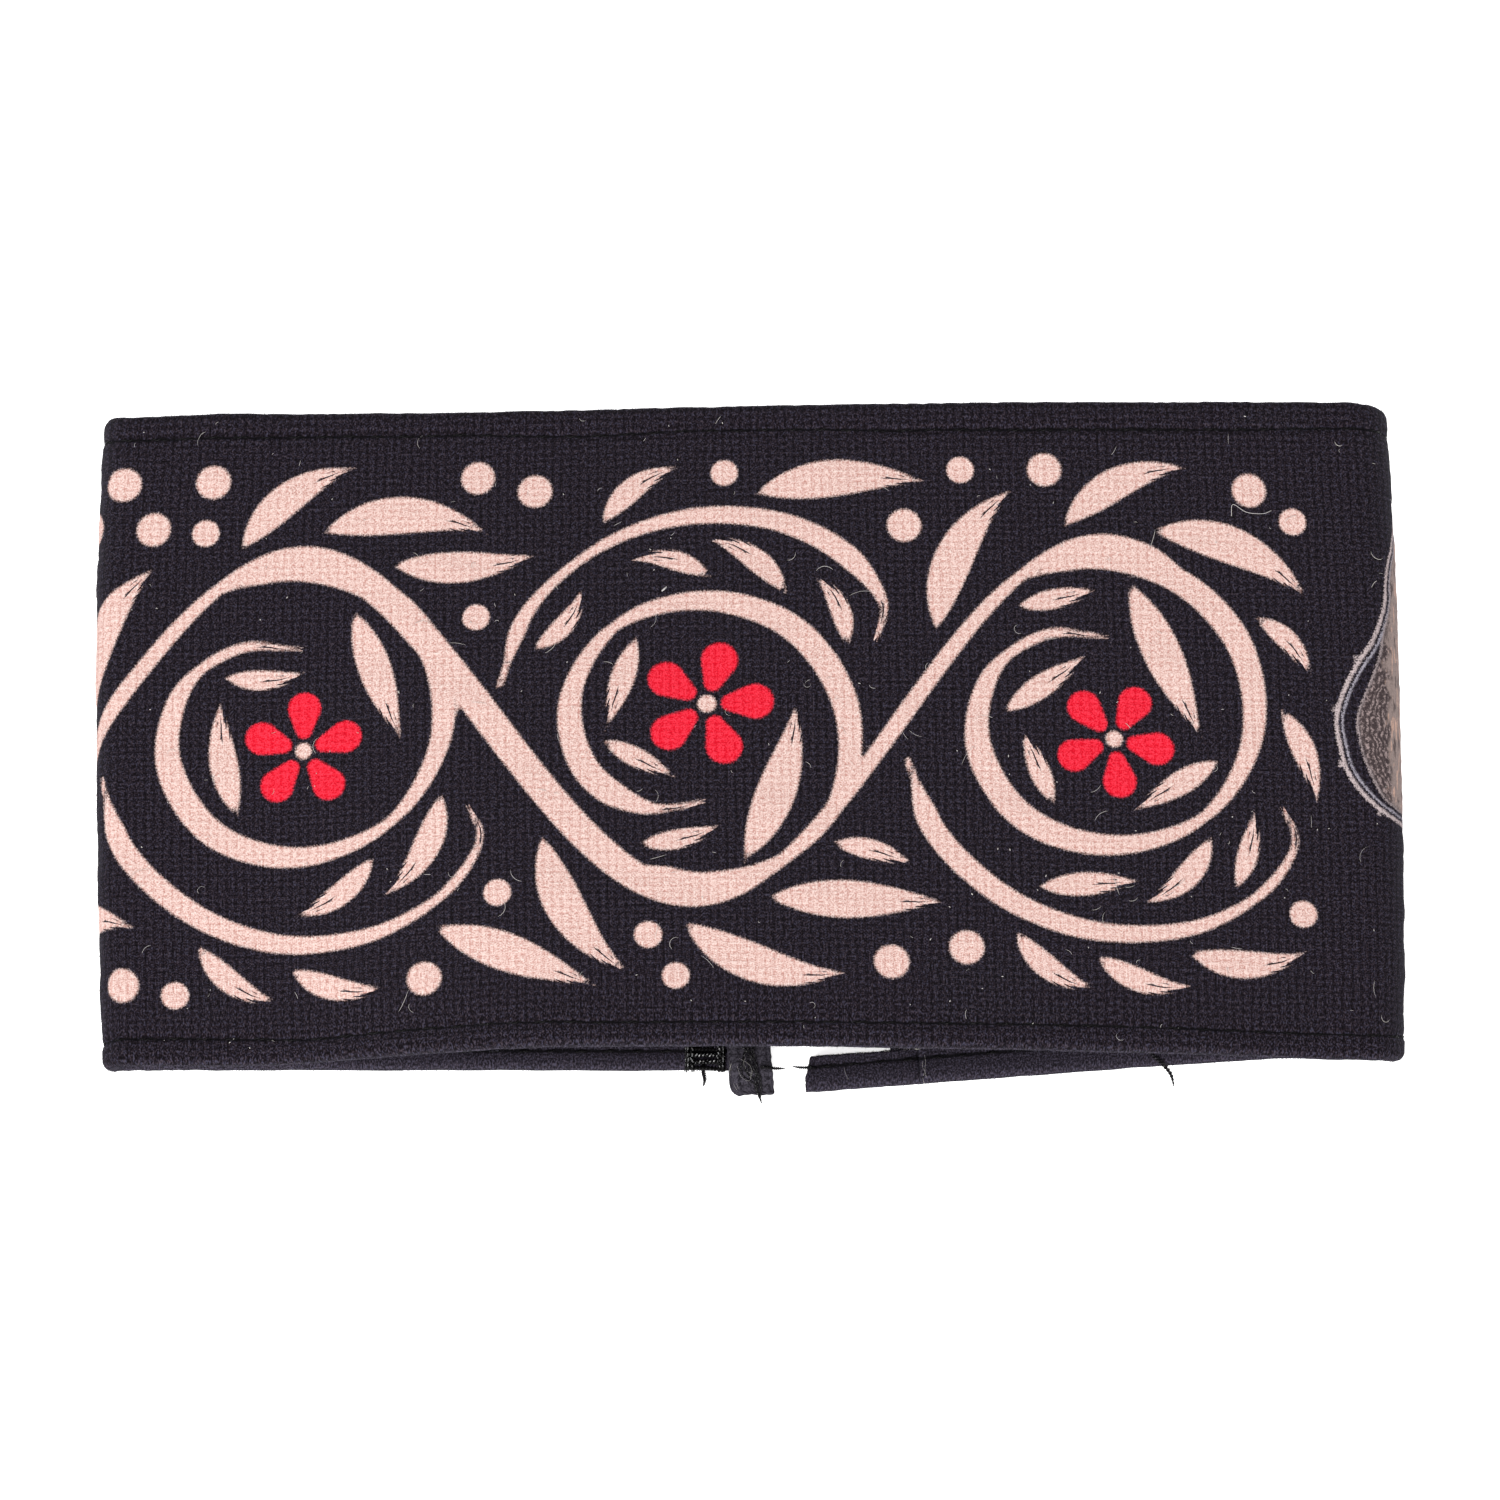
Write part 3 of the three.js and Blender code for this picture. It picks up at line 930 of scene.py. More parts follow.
def dye_numbers(points):
    """For flat places, the distances inside beige and red, and the place on the nearest stroke."""
    names = ("beige", "red", "berry", "nearest", "past_end")
    numbers = {name: np.full(len(points), DYE_FAR) for name in names}
    numbers["across"] = np.zeros(len(points))
    for stroke in design.strokes:
        path, half = stroke["path"], stroke["half"]
        reach = half.max() + DYE_REACH
        near = np.where(((points > path.min(0) - reach) & (points < path.max(0) + reach)).all(1))[0]
        if not len(near):
            continue
        inside = half - np.linalg.norm(points[near][:, None] - path[None], axis=2)
        closest = inside.argmax(1)
        inside = inside[np.arange(len(near)), closest]
        heading = heading_of(path)[closest]
        x, y = (points[near] - path[closest]).T
        lengths = lengths_along(path)
        past = lengths[closest] + x * np.cos(heading) + y * np.sin(heading) - lengths[-1]
        found = {
            "nearest": inside,
            "across": y * np.cos(heading) - x * np.sin(heading),
            "past_end": past if stroke["dry"] else NOT_DRY,
        }
        wins = inside > numbers["nearest"][near]
        for name, values in found.items():
            numbers[name][near] = np.where(wins, values, numbers[name][near])
        dyed = numbers[stroke["dye"]]
        dyed[near] = np.maximum(dyed[near], inside)
    return numbers


print_place = flat - (0, CLOTH_HEIGHT / 2)
dye = dye_numbers(print_place)
write_attributes(cloth.data, dye_beige=dye["beige"], dye_red=dye["red"], dye_berry=dye["berry"],
                 brush_across=dye["across"], brush_past_end=dye["past_end"])
on_front = (np.abs(flat[:, 0]) < FRONT_HALF_WIDTH) & (flat[:, 1] > 0)
dyed = np.maximum(dye["beige"], dye["berry"]) > 0
print("share of the front in beige:", round(float(dyed[on_front].mean()), 3))

# %% [markdown]
# Small round shapes
# Distances kept at the mesh's points draw long strokes well, but a petal is only a few points wide
# and would come out with corners. A place relative to the nearest flower or berry is a plain number
# of millimetres, which stays exact between points, so the material works out those shapes itself.


# %% Places relative to flowers, berries and medallion
def of_all(shapes, key):
    return np.array([shape[key] for shape in shapes])


away = print_place[:, None] - of_all(flowers, "centre")
nearest_flower = np.linalg.norm(away, axis=2).argmin(1)
x, y = (away[np.arange(len(away)), nearest_flower] / of_all(flowers, "diameter")[nearest_flower, None]).T
turn = of_all(flowers, "turn")[nearest_flower]
write_attributes(cloth.data, flower_x=x * np.cos(turn) + y * np.sin(turn),
                 flower_y=y * np.cos(turn) - x * np.sin(turn))

away = print_place[:, None] - of_all(berries, "centre")
nearest_berry = (np.linalg.norm(away, axis=2) - of_all(berries, "radius")).argmin(1)
x, y = (away[np.arange(len(away)), nearest_berry] / of_all(berries, "radius")[nearest_berry, None]).T
write_attributes(cloth.data, berry_x=x, berry_y=y)

medallion_place = flat - (MEDALLION_FROM_MIDDLE, 0)
medallion_inside = signed_distance(medallion_place, medallion_outline)
beads = BEAD_RADIUS - np.linalg.norm(medallion_place[:, None] - bead_places[None], axis=2).min(1)
write_attributes(cloth.data, medallion=np.maximum(medallion_inside, DYE_FAR),
                 medallion_beads=np.maximum(beads, DYE_FAR))
print("attributes on the strip:", len(cloth.data.attributes))

# %% Cut the tail free and thicken the strip
pick_only(cloth)
bpy.ops.object.mode_set(mode="EDIT")
bpy.ops.mesh.select_mode(type="FACE")
bpy.ops.mesh.select_all(action="DESELECT")
bpy.ops.object.mode_set(mode="OBJECT")
cut_away = 0
for face in cloth.data.polygons:
    corners = list(face.vertices)
    past_cut = strip_s[corners].min() >= TAIL_START - 0.01
    face.select = bool(past_cut and strip_flat[corners].mean() > TAIL_HEIGHT)
    cut_away += face.select
bpy.ops.object.mode_set(mode="EDIT")
bpy.ops.mesh.delete(type="FACE")
bpy.ops.object.mode_set(mode="OBJECT")
thicken(cloth, CLOTH_THICKNESS, material_offset=1, material_offset_rim=1)
print("faces cut away above the tail:", cut_away)

# %% [markdown]
# The cloth's finish
# The cloth is thick and has a short brushed pile. Close up, soft ribs run up the band, each with a
# faint crease along its middle, and rows run across it, so that a grid of low cushions shows
# through the pile, as bumps and as painted light that makes their tops paler. Dye lies in the
# pile, so its edges are soft, and a dry brush leaves streaks.

# %% Weave shared by both faces
RIBS = {"width": 1.28, "height": 0.22, "wander": 2.4}
ROWS = {"width": 1.0, "height": 0.19, "wander": 2.0}
CREASE_DEPTH = 0.09
TUFTS_PER_MM = (2.2, 1.9)
FIBRES_PER_MM = (4.4, 3.9)
PILE_ROUGHNESS = 0.65
FIBRE_SHARE = 0.64
TUFT_SHARE = 0.36
STITCH_WAVER = 0.35
WEAVE_BUMP = 0.35 * MM
WEAVE_BUMP_STRENGTH = 0.9
SHEEN_TINT = (0.75, 0.75, 0.95)


def weave(finish, flat_place):
    """The grid of cushions as a height from 0 to 1, and the pile's tufts and fibres."""
    wander = finish.noise(flat_place, 0.35, detail=1.0)
    x, y = finish.split(flat_place)
    rib_turn = x * (2 * math.pi / RIBS["width"]) + wander * RIBS["wander"]
    row_turn = y * (2 * math.pi / ROWS["width"]) + wander * ROWS["wander"]
    ribs = finish.math("COSINE", rib_turn) * RIBS["height"] + 0.5
    crease = finish.math("COSINE", rib_turn * 2.0) * CREASE_DEPTH
    rows = finish.math("COSINE", row_turn) * ROWS["height"]
    return {
        "height": ribs - crease + rows,
        "pile": finish.noise(finish.stretch(flat_place, *TUFTS_PER_MM), roughness=PILE_ROUGHNESS),
        "fibres": finish.noise(finish.stretch(flat_place, *FIBRES_PER_MM), roughness=PILE_ROUGHNESS),
    }


def brushed_grain(threads, grid_painted_light_share):
    """Lightness of the pile from 0 to 1: fibres, then tufts, then a share of painted light that is paler on
    the tops of the grid below them.
    """
    tufts = threads["fibres"] * FIBRE_SHARE + threads["pile"] * TUFT_SHARE
    return tufts * (1 - grid_painted_light_share) + threads["height"] * grid_painted_light_share


def painted_groove_shade(finish, flat_place, full_to, gone_at):
    """From 0 to 1, the painted shade of the wavy groove that the stitches press into the cloth."""
    waver = (finish.noise(flat_place, 1.1) - 0.5) * (2 * STITCH_WAVER)
    return finish.ramp(abs(finish.attribute("off_stitches") + waver), full_to, gone_at, 1.0, 0.0)


# %% Dye on the face
FLOWER_DIAMETER = 16.0
BERRY_RADIUS = 2.25
NEAR_SHAPE = 0.8
NEAR_BERRY = 0.3
RAGGED_BY = 0.22
STREAKS_PER_MM = (1.9, 0.22)
BRUSH_ENDS = (-6.5, 1.6)

face = Finish("brushed_cloth_face")
flat_place = face.flat_place()
face_weave = weave(face, flat_place)
ragged = (face.noise(flat_place, 2.6, detail=3.0, roughness=0.7) - 0.5) * (2 * RAGGED_BY)
past_end = face.attribute("brush_past_end")
streaks = face.join(face.attribute("brush_across") * STREAKS_PER_MM[0], past_end * STREAKS_PER_MM[1])
brush_end = face.ramp(face.noise(streaks, roughness=0.6), 0.34, 0.66, *BRUSH_ENDS)
beige_edge = face.math("MINIMUM", face.attribute("dye_beige"), (brush_end - past_end) * 0.5)


def length_of(x, y):
    return face.math("SQRT", x * x + y * y)


def petals_inside(x, y):
    """How far inside the nearest petal a place is: a teardrop from a small disc to a large one."""
    sector = 2 * math.pi / PETALS
    angle = face.math("ARCTAN2", y, x) + (2 * math.pi + sector / 2)
    angle = face.math("MODULO", angle, sector) - sector / 2
    from_eye = length_of(x, y)
    out = from_eye * face.math("COSINE", angle)
    aside = abs(from_eye * face.math("SINE", angle))
    from_root = out - PETAL_REACH[0]
    petal_length = PETAL_REACH[1] - PETAL_REACH[0]
    slope = (PETAL_RADII[0] - PETAL_RADII[1]) / petal_length
    square = math.sqrt(1 - slope**2)
    flank = aside * square + (from_root * slope - PETAL_RADII[0])
    at_cap = from_root * square - aside * slope
    cap = length_of(aside, out - PETAL_REACH[1]) - PETAL_RADII[1]
    root = length_of(aside, from_root) - PETAL_RADII[0]
    away = face.math("GREATER_THAN", at_cap, square * petal_length) * (cap - flank) + flank
    away = face.math("LESS_THAN", at_cap, 0.0) * (root - away) + away
    return away * -FLOWER_DIAMETER


flower_x, flower_y = face.attribute("flower_x"), face.attribute("flower_y")
near_red = face.attribute("dye_red") + NEAR_SHAPE
near_berry = face.attribute("dye_berry") + NEAR_BERRY
petal_edge = face.math("MINIMUM", petals_inside(flower_x, flower_y), near_red)
eye_edge = (EYE_RADIUS - length_of(flower_x, flower_y)) * FLOWER_DIAMETER
eye_edge = face.math("MINIMUM", eye_edge, near_red)
berry_edge = (1 - length_of(face.attribute("berry_x"), face.attribute("berry_y"))) * BERRY_RADIUS
berry_edge = face.math("MINIMUM", berry_edge, near_berry)
beige_edge = face.math("MAXIMUM", beige_edge, face.math("MAXIMUM", eye_edge, berry_edge))
fray = (face_weave["fibres"] - 0.5) * 0.7 + ragged
beige_share = face.ramp(beige_edge + fray, -0.16, 0.38)
red_share = face.ramp(petal_edge + fray, -0.27, 0.27)
print("nodes for the dye:", len(face.tree.nodes))

# %% Tones of the face
# The grid's share is painted light: the tops of the weave's cushions are made paler in the colour.
GRID_PAINTED_LIGHT_SHARE = {"plain": 0.085, "print": 0.09, "reverse": 0.15}
DARK_LOW = (0.0016, 0.0010, 0.0015)
DARK_BROWNISH = (0.0150, 0.0098, 0.0134)
DARK_BLUISH = (0.0126, 0.0098, 0.0164)
FLECK_BROWNISH = (0.062, 0.051, 0.066)
FLECK_BLUISH = (0.053, 0.052, 0.081)
TURNED_IN_FLUFF_AND_PAINTED_LIGHT = (0.056, 0.049, 0.071)
# The near black painted into the stitch groove as shade, and on the reverse along the seam.
GROOVE_SHADE_AND_SEAM_DARK = (0.0012, 0.0010, 0.0012)
BEIGE_LOW = (0.38, 0.19, 0.16)
BEIGE_HIGH = (0.66, 0.52, 0.48)
RED_LOW = (0.48, 0.002, 0.012)
RED_HIGH = (0.68, 0.030, 0.055)

grain = brushed_grain(face_weave, GRID_PAINTED_LIGHT_SHARE["plain"])
print_grain = brushed_grain(face_weave, GRID_PAINTED_LIGHT_SHARE["print"])
hue = face.ramp(face.noise(flat_place, 3.0), 0.42, 0.58)
dark = face.mix(face.ramp(grain, 0.38, 0.60), DARK_LOW, face.mix(hue, DARK_BROWNISH, DARK_BLUISH))
flecks = face.mix(hue, FLECK_BROWNISH, FLECK_BLUISH)
dark = face.mix(face.ramp(grain, 0.49, 0.65, 0.0, 0.57), dark, flecks)
# Turned-in cloth gets paler fluff: partly real pale pile, partly painted light against the shade along the
# hem's turned-in edge.
fluff_and_painted_light_share = face.ramp(face_weave["fibres"], 0.4, 0.7, 0.08, 0.58)
dark = face.mix(face.attribute("turned_in") * fluff_and_painted_light_share, dark, TURNED_IN_FLUFF_AND_PAINTED_LIGHT)
beige = face.mix(face.ramp(print_grain, 0.35, 0.65), BEIGE_LOW, BEIGE_HIGH)
red = face.mix(face.ramp(print_grain, 0.41, 0.60), RED_LOW, RED_HIGH)
print("cloth face finish:", face.material.name)

# %% [markdown]
# The medallion's rings
# The number called medallion grows inward from the outline, so rings are simply ranges of it: a
# pale rim, a thin line, a dark gap, an inner rim, and then a field engraved with short strokes that
# follow the outline. Across the fold runs a plain taupe panel with a few dark and peach streaks.

# %% Medallion rings
RINGS = [
    {"from": -0.15, "to": 0.47, "inner": False, "tone": (0.40, 0.33, 0.33)},
    {"from": 0.88, "to": 1.2, "inner": False, "tone": (0.27, 0.25, 0.29)},
    {"from": 3.0, "to": 3.3, "inner": True, "tone": (0.27, 0.22, 0.22)},
]
RING_SOFTNESS = 0.25
GAP_CLOSES = [{"from": 53.0, "to": 63.0, "by": 2.0}, {"from": 43.0, "to": 35.5, "by": 1.3}]
ENGRAVED_DARK = (0.040, 0.029, 0.030)
ENGRAVED_PALE = (0.26, 0.20, 0.195)
TAUPE = (0.24, 0.185, 0.17)
PEACH = (0.46, 0.30, 0.24)
STROKE_SPACING = 0.8
PANEL_HALF_WIDTH = 12.0

rough_edge = (face_weave["fibres"] - 0.5) * 1.1 + ragged
ring_depth = face.attribute("medallion") + rough_edge
across_fold, up_band = face.split(flat_place)
inner_depth = ring_depth
for row in GAP_CLOSES:
    inner_depth = inner_depth + face.ramp(up_band, row["from"], row["to"], 0.0, row["by"])
drift = face.noise(flat_place, 0.5)
stroke_line = face.math("SINE", inner_depth * (2 * math.pi / STROKE_SPACING) + drift * 20.0)
broken = face.ramp(face.noise(flat_place, 1.7), 0.42, 0.58, 0.15, 1.0)
field = face.mix(face.ramp(stroke_line, -0.6, 0.9) * broken, ENGRAVED_DARK, ENGRAVED_PALE)
panel_edge = drift * 5.0 + abs(across_fold - MEDALLION_FROM_MIDDLE)
panel_share = face.ramp(panel_edge, PANEL_HALF_WIDTH + 1.7, PANEL_HALF_WIDTH + 3.2, 1.0, 0.0)
panel_streaks = face.noise(face.stretch(flat_place, 1.6, 0.3))
panel = face.mix(face.ramp(panel_streaks, 0.34, 0.42, 0.75, 0.0), TAUPE, ENGRAVED_DARK)
panel = face.mix(face.ramp(panel_streaks, 0.56, 0.62, 0.0, 0.9), panel, PEACH)
field = face.mix(panel_share, field, panel)
field = face.mix(face.ramp(grain, 0.36, 0.56, 0.35, 0.0), field, ENGRAVED_DARK)
medallion_tone = face.mix(face.ramp(inner_depth, 3.3, 3.7), dark, field)
worn = face.ramp(grain, 0.38, 0.54, 0.35, 1.0)
for ring in RINGS:
    depth = inner_depth if ring["inner"] else ring_depth
    begun = face.ramp(depth, ring["from"], ring["from"] + RING_SOFTNESS)
    not_ended = face.ramp(depth, ring["to"], ring["to"] + RING_SOFTNESS, 1.0, 0.0)
    medallion_tone = face.mix(begun * not_ended * worn, medallion_tone, ring["tone"])
medallion_share = face.ramp(ring_depth, -0.15, 0.15)
bead_share = face.ramp(face.attribute("medallion_beads") + rough_edge, -0.15, 0.2)
print("rings:", len(RINGS))

# %% [markdown]
# The stitch line
# The stitches press a wavy groove into the cloth, and its shade is painted into the cloth's colour
# as a dark line. On the face this painted shade is soft and unbroken. On the inner side of the hem
# it fades at every other length, where the thread comes up.

# %% Put the face together, and the reverse
FACE_GROOVE_SHADE = {"full_to": 0.20, "gone_at": 0.52, "strength": 0.9}
REVERSE_GROOVE_SHADE = {"full_to": 0.13, "gone_at": 0.40, "strongest": 0.6, "weakest": 0.1}
SEAM_DARKNESS = 0.45
REVERSE_LOW = (0.006, 0.005, 0.007)
REVERSE_HIGH = (0.054, 0.046, 0.062)
FACING_LOW = (0.005, 0.004, 0.006)
FACING_HIGH = (0.049, 0.044, 0.057)

face_tone = face.mix(beige_share, dark, beige)
face_tone = face.mix(red_share, face_tone, red)
face_tone = face.mix(medallion_share, face_tone, medallion_tone)
face_tone = face.mix(bead_share, face_tone, RINGS[0]["tone"])
# Painted shade: the stitch groove darkens the face's colour towards a near black.
groove = painted_groove_shade(face, flat_place, FACE_GROOVE_SHADE["full_to"], FACE_GROOVE_SHADE["gone_at"])
face.bump(grain, WEAVE_BUMP, WEAVE_BUMP_STRENGTH)
cloth_face_finish = face.surface(
    Base_Color=face.mix(groove * FACE_GROOVE_SHADE["strength"], face_tone, GROOVE_SHADE_AND_SEAM_DARK),
    Roughness=face.ramp(face_weave["pile"], 0.2, 0.8, 0.82, 0.97),
    Sheen_Weight=0.03,
    Sheen_Roughness=0.5,
    Sheen_Tint=SHEEN_TINT,
    Specular_IOR_Level=0.05,
)


def plain_cloth(name, low, high, hemmed=False):
    """Undyed reverse or facing cloth: the same weave in one colour, with painted shade in a hem's groove."""
    finish = Finish(name)
    flat_place = finish.flat_place()
    threads = weave(finish, flat_place)
    grain = brushed_grain(threads, GRID_PAINTED_LIGHT_SHARE["reverse"])
    tone = finish.mix(finish.ramp(grain, 0.36, 0.64), low, high)
    if hemmed:
        strongest, weakest = REVERSE_GROOVE_SHADE["strongest"], REVERSE_GROOVE_SHADE["weakest"]
        stitch_turn = (finish.split(flat_place)[0] + float(FRONT_MIDDLE)) * (2 * math.pi / STITCH_PITCH)
        dashes = finish.ramp(finish.math("COSINE", stitch_turn), -0.4, 0.5, strongest, weakest)
        groove = painted_groove_shade(finish, flat_place, REVERSE_GROOVE_SHADE["full_to"], REVERSE_GROOVE_SHADE["gone_at"])
        # Painted shade in the stitch groove, dashed where the thread comes up, joined by the seam's dark
        # line.
        groove = finish.math("MAXIMUM", groove * dashes, finish.attribute("seam") * SEAM_DARKNESS)
        tone = finish.mix(groove, tone, GROOVE_SHADE_AND_SEAM_DARK)
    finish.bump(grain, WEAVE_BUMP, WEAVE_BUMP_STRENGTH)
    return finish.surface(
        Base_Color=tone,
        Roughness=finish.ramp(threads["fibres"], 0.2, 0.8, 0.85, 0.98),
        Sheen_Weight=0.04,
        Sheen_Tint=SHEEN_TINT,
        Specular_IOR_Level=0.08,
    )


cloth_reverse_finish = plain_cloth("cloth_reverse", REVERSE_LOW, REVERSE_HIGH, hemmed=True)
facing_finish = plain_cloth("facing_cloth", FACING_LOW, FACING_HIGH)

finish_piece(cloth, "printed_cloth", cloth_face_finish, cloth_reverse_finish)
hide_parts("printed_band")

# %% [markdown]
# Sewing thread
# The thread is two plies twisted round each other. It could be drawn as a bump on a plain tube, but
# close up the plies catch the light one by one, so one short pair is modelled: a circle is extruded
# in steps, turned a little at each step, and doubled half a turn round. Every stitch, cord and loose
# end is a copy of this pair, laid along its own line.

# %% One twisted pair of plies
PLY_RADIUS = 0.13
PLY_OFFSET = 0.12


def twisted_pair(sides, segments, turns):
    """Points and faces of two twisted plies along Z. Across they are in millimetres, along 0 to 1."""
    deselect_all()
    bpy.ops.mesh.primitive_circle_add(vertices=sides, radius=PLY_RADIUS, fill_type="NGON",
                                      location=(PLY_OFFSET, 0, 0))
    pair = bpy.context.object
    bpy.ops.object.transform_apply(location=True)
    bpy.ops.object.mode_set(mode="EDIT")
    for _ in range(segments):
        bpy.ops.mesh.extrude_region_move(TRANSFORM_OT_translate={"value": (0, 0, 1 / segments)})
        bpy.ops.transform.rotate(value=2 * math.pi * turns / segments, orient_axis="Z",
                                 center_override=(0, 0, 0))
    bpy.ops.mesh.select_all(action="SELECT")
    bpy.ops.mesh.duplicate()
    bpy.ops.transform.rotate(value=math.pi, orient_axis="Z", center_override=(0, 0, 0))
    bpy.ops.mesh.select_all(action="SELECT")
    bpy.ops.mesh.normals_make_consistent(inside=False)
    bpy.ops.object.mode_set(mode="OBJECT")
    points = read_points(pair.data)
    faces = [list(face.vertices) for face in pair.data.polygons]
    bpy.data.objects.remove(pair)
    return {"points": points, "faces": faces, "crest": points[:, 1] / (PLY_OFFSET + PLY_RADIUS)}


def joined_piece(name, parts):
    """One piece from parts: points in millimetres, faces and, for thread, each point's crest."""
    points, faces, crests, first = [], [], [], 0
    for part_points, part_faces, *part_crest in parts:
        points.append(part_points)
        faces.extend([corner + first for corner in face] for face in part_faces)
        crests.extend(part_crest)
        first += len(part_points)
    mesh = bpy.data.meshes.new(name)
    mesh.from_pydata((np.vstack(points) * MM).tolist(), [], faces)
    if crests:
        write_attributes(mesh, crest=np.concatenate(crests))
    piece = bpy.data.objects.new(name, mesh)
    bpy.context.scene.collection.objects.link(piece)
    return piece


def lay_thread(pair, path, thickness=1.0, taper=None):
    """The twisted pair laid along a line in space, with its crest turned up."""
    path, at = even_steps(np.asarray(path, float), 0.2)
    x, y, z = pair["points"].T
    z = np.clip(z, 0, 1)
    centre, forward = (np.stack([np.interp(z, at / at[-1], column) for column in table.T], 1)
                       for table in (path, directions(path)))
    side = np.cross((0, 0, 1), forward)
    side /= np.linalg.norm(side, axis=1)[:, None]
    up = np.cross(forward, side)
    size = thickness * (np.interp(z, *taper) if taper else np.ones_like(z))
    return centre + (size * x)[:, None] * side + (size * y)[:, None] * up, pair["faces"], pair["crest"]


STITCH_PAIR = twisted_pair(sides=4, segments=7, turns=1.4)
CORD_PAIR = twisted_pair(sides=6, segments=42, turns=6.0)
print("faces in a stitch:", len(STITCH_PAIR["faces"]), "in a cord:", len(CORD_PAIR["faces"]))

# %% [markdown]
# Hem stitches
# Both hems are held by one row of lockstitch, so there is a line of stitches on the face and one on
# the inside. Each stitch goes down into the cloth at its ends and pulls the cloth in.

# %% Lay the hem stitches
STITCH_GAP = 0.45
STITCH_DIVE = 0.6
STITCH_SUNK = 0.02
STITCH_SLANT = 0.34
STITCH_STRAY = 0.05
STITCH_TURN = 0.12
DIVE_POWER = {False: 5, True: 2}
stitch_seed = np.random.default_rng(5)


def hem_stitch(start, edge, inside):
    """One stitch of the twisted pair, laid on the face or the inner side of a hem."""
    across, out, share = STITCH_PAIR["points"].T
    s = start + STITCH_GAP / 2 + (STITCH_PITCH - STITCH_GAP) * share
    inset = stitch_inset(s, edge)
    line = inset if edge == "low" else CLOTH_HEIGHT - inset
    line = line + stitch_seed.normal(0, STITCH_STRAY)
    line = line + STITCH_TURN * (share - 0.5) * stitch_seed.normal(0, 1)
    height = out - STITCH_SUNK - STITCH_DIVE * np.abs(2 * share - 1) ** DIVE_POWER[inside]
    if inside:
        slant = STITCH_SLANT * (0.5 - share)
        points = wrap(s, line + slant - across, hem_surface(s, line + slant) + height)
    else:
        points = wrap(s, line + across, face_surface(s, line) - height)
    points[:, 2] = np.maximum(points[:, 2], 0.0)
    return points, STITCH_PAIR["faces"], STITCH_PAIR["crest"]


stitch_parts = []
for edge, last in (("low", CLOTH_LENGTH), ("top", TAIL_START)):
    for start in np.arange(0, last - STITCH_PITCH, STITCH_PITCH):
        for inside in (False, True):
            stitch_parts.append(hem_stitch(start, edge, inside))
hem_stitches = joined_piece("hem_stitches", stitch_parts)
print("hem stitches:", len(stitch_parts))

# %% [markdown]
# Thread finishes
# All the thread is black, but it doesn't all look the same. Its glints are highlights painted into
# its colour. Hem thread has few, the bar tack's has many bright painted glints on top, and cut ends
# are frayed and a little grey. One finish is made three times with other painted glints, and they
# sit only where a ply turns its crest up.

# %% Thread finishes
THREAD_BLACK = (0.0008, 0.0008, 0.0008)
STRANDS_SCALE = 5200.0
STRANDS_BUMP = 0.03 * MM
PAINTED_GLINTS_ON_CREST = (0.55, 0.95)
PAINTED_GLINT_SPAN = 0.12


def black_thread(name, painted_glint_from, painted_glint_tone=(0.20, 0.20, 0.19), fluff_tone=(0.004, 0.0035, 0.004)):
    """Black thread with painted glints on the tops of its plies. A lower start gives more painted glints."""
    finish = Finish(name)
    strands = finish.noise(finish.object_place(), STRANDS_SCALE, roughness=0.6)
    tone = finish.mix(finish.ramp(strands, 0.35, 0.7), THREAD_BLACK, fluff_tone)
    # Painted highlights: the glints are pale colour on the plies' crests, not reflections.
    on_top = finish.ramp(finish.attribute("crest"), *PAINTED_GLINTS_ON_CREST)
    painted_glint = on_top * finish.ramp(strands, painted_glint_from, painted_glint_from + PAINTED_GLINT_SPAN)
    finish.bump(strands, STRANDS_BUMP, 0.6)
    return finish.surface(
        Base_Color=finish.mix(painted_glint, tone, painted_glint_tone),
        Roughness=finish.ramp(strands, 0.3, 0.7, 0.25, 0.45),
        Specular_IOR_Level=0.09,
    )


thread_finish = black_thread("black_thread", 0.68)
cord_finish = black_thread("black_thread_bright_painted_glints", 0.50, painted_glint_tone=(0.70, 0.70, 0.71))
frayed_finish = black_thread("frayed_black_thread", 0.58, fluff_tone=(0.020, 0.018, 0.022))
finish_piece(hem_stitches, "sewing_thread", thread_finish)

# %% [markdown]
# The facing tab
# The raw left end of the strip is covered by a narrow piece of cloth, folded double, that runs up
# the whole end and hangs a little below the hem. A flat grid is laid double along its fold by
# formula and thickened. Its lower end sags onto the table, which the table of heights below gives.

# %% Fold the facing tab
TAB_LAYER = 0.55
TAB_FOLD_RADIUS = 0.34
TAB_FOLD_SHARE = 0.12
TAB_SHAPE = {
    "y": [-49.85, -49.6, -49.25, -48.7, -48.0, -46.8, -45.6, -44.0, -20.0, 20.0, 47.6],
    "left": [-1.8, -2.35, -2.68, -2.9, -2.98, -3.05, -3.15, -3.2, -3.15, -3.15, -3.15],
    "right": [3.46, 3.44, 3.41, 3.37, 3.32, 3.2, 3.05, 2.95, 3.1, 3.1, 3.1],
    "low": [1.75, 1.8, 1.88, 2.05, 2.35, 2.95, 3.2, 3.2, 3.2, 3.2, 3.2],
}
TAB_GAPS = {"under": 0.06, "over": 0.12}
TAB_REST = 0.03
TAB_WAVES = 0.07
TAB_RUFFLE = 0.05
TAB_UNDER_SHORTER = 0.12
TAB_COLUMNS = 31
TAB_LOW_END, TAB_TOP_END = TAB_SHAPE["y"][0], TAB_SHAPE["y"][-1]
TAB_SAG_END = -44


def tab_value(y, key):
    return np.interp(y, TAB_SHAPE["y"], TAB_SHAPE[key])


def tab_top(y):
    """Height of the facing's upper surface."""
    return tab_value(y, "low") + TAB_GAPS["under"] + 2 * TAB_LAYER + TAB_GAPS["over"]


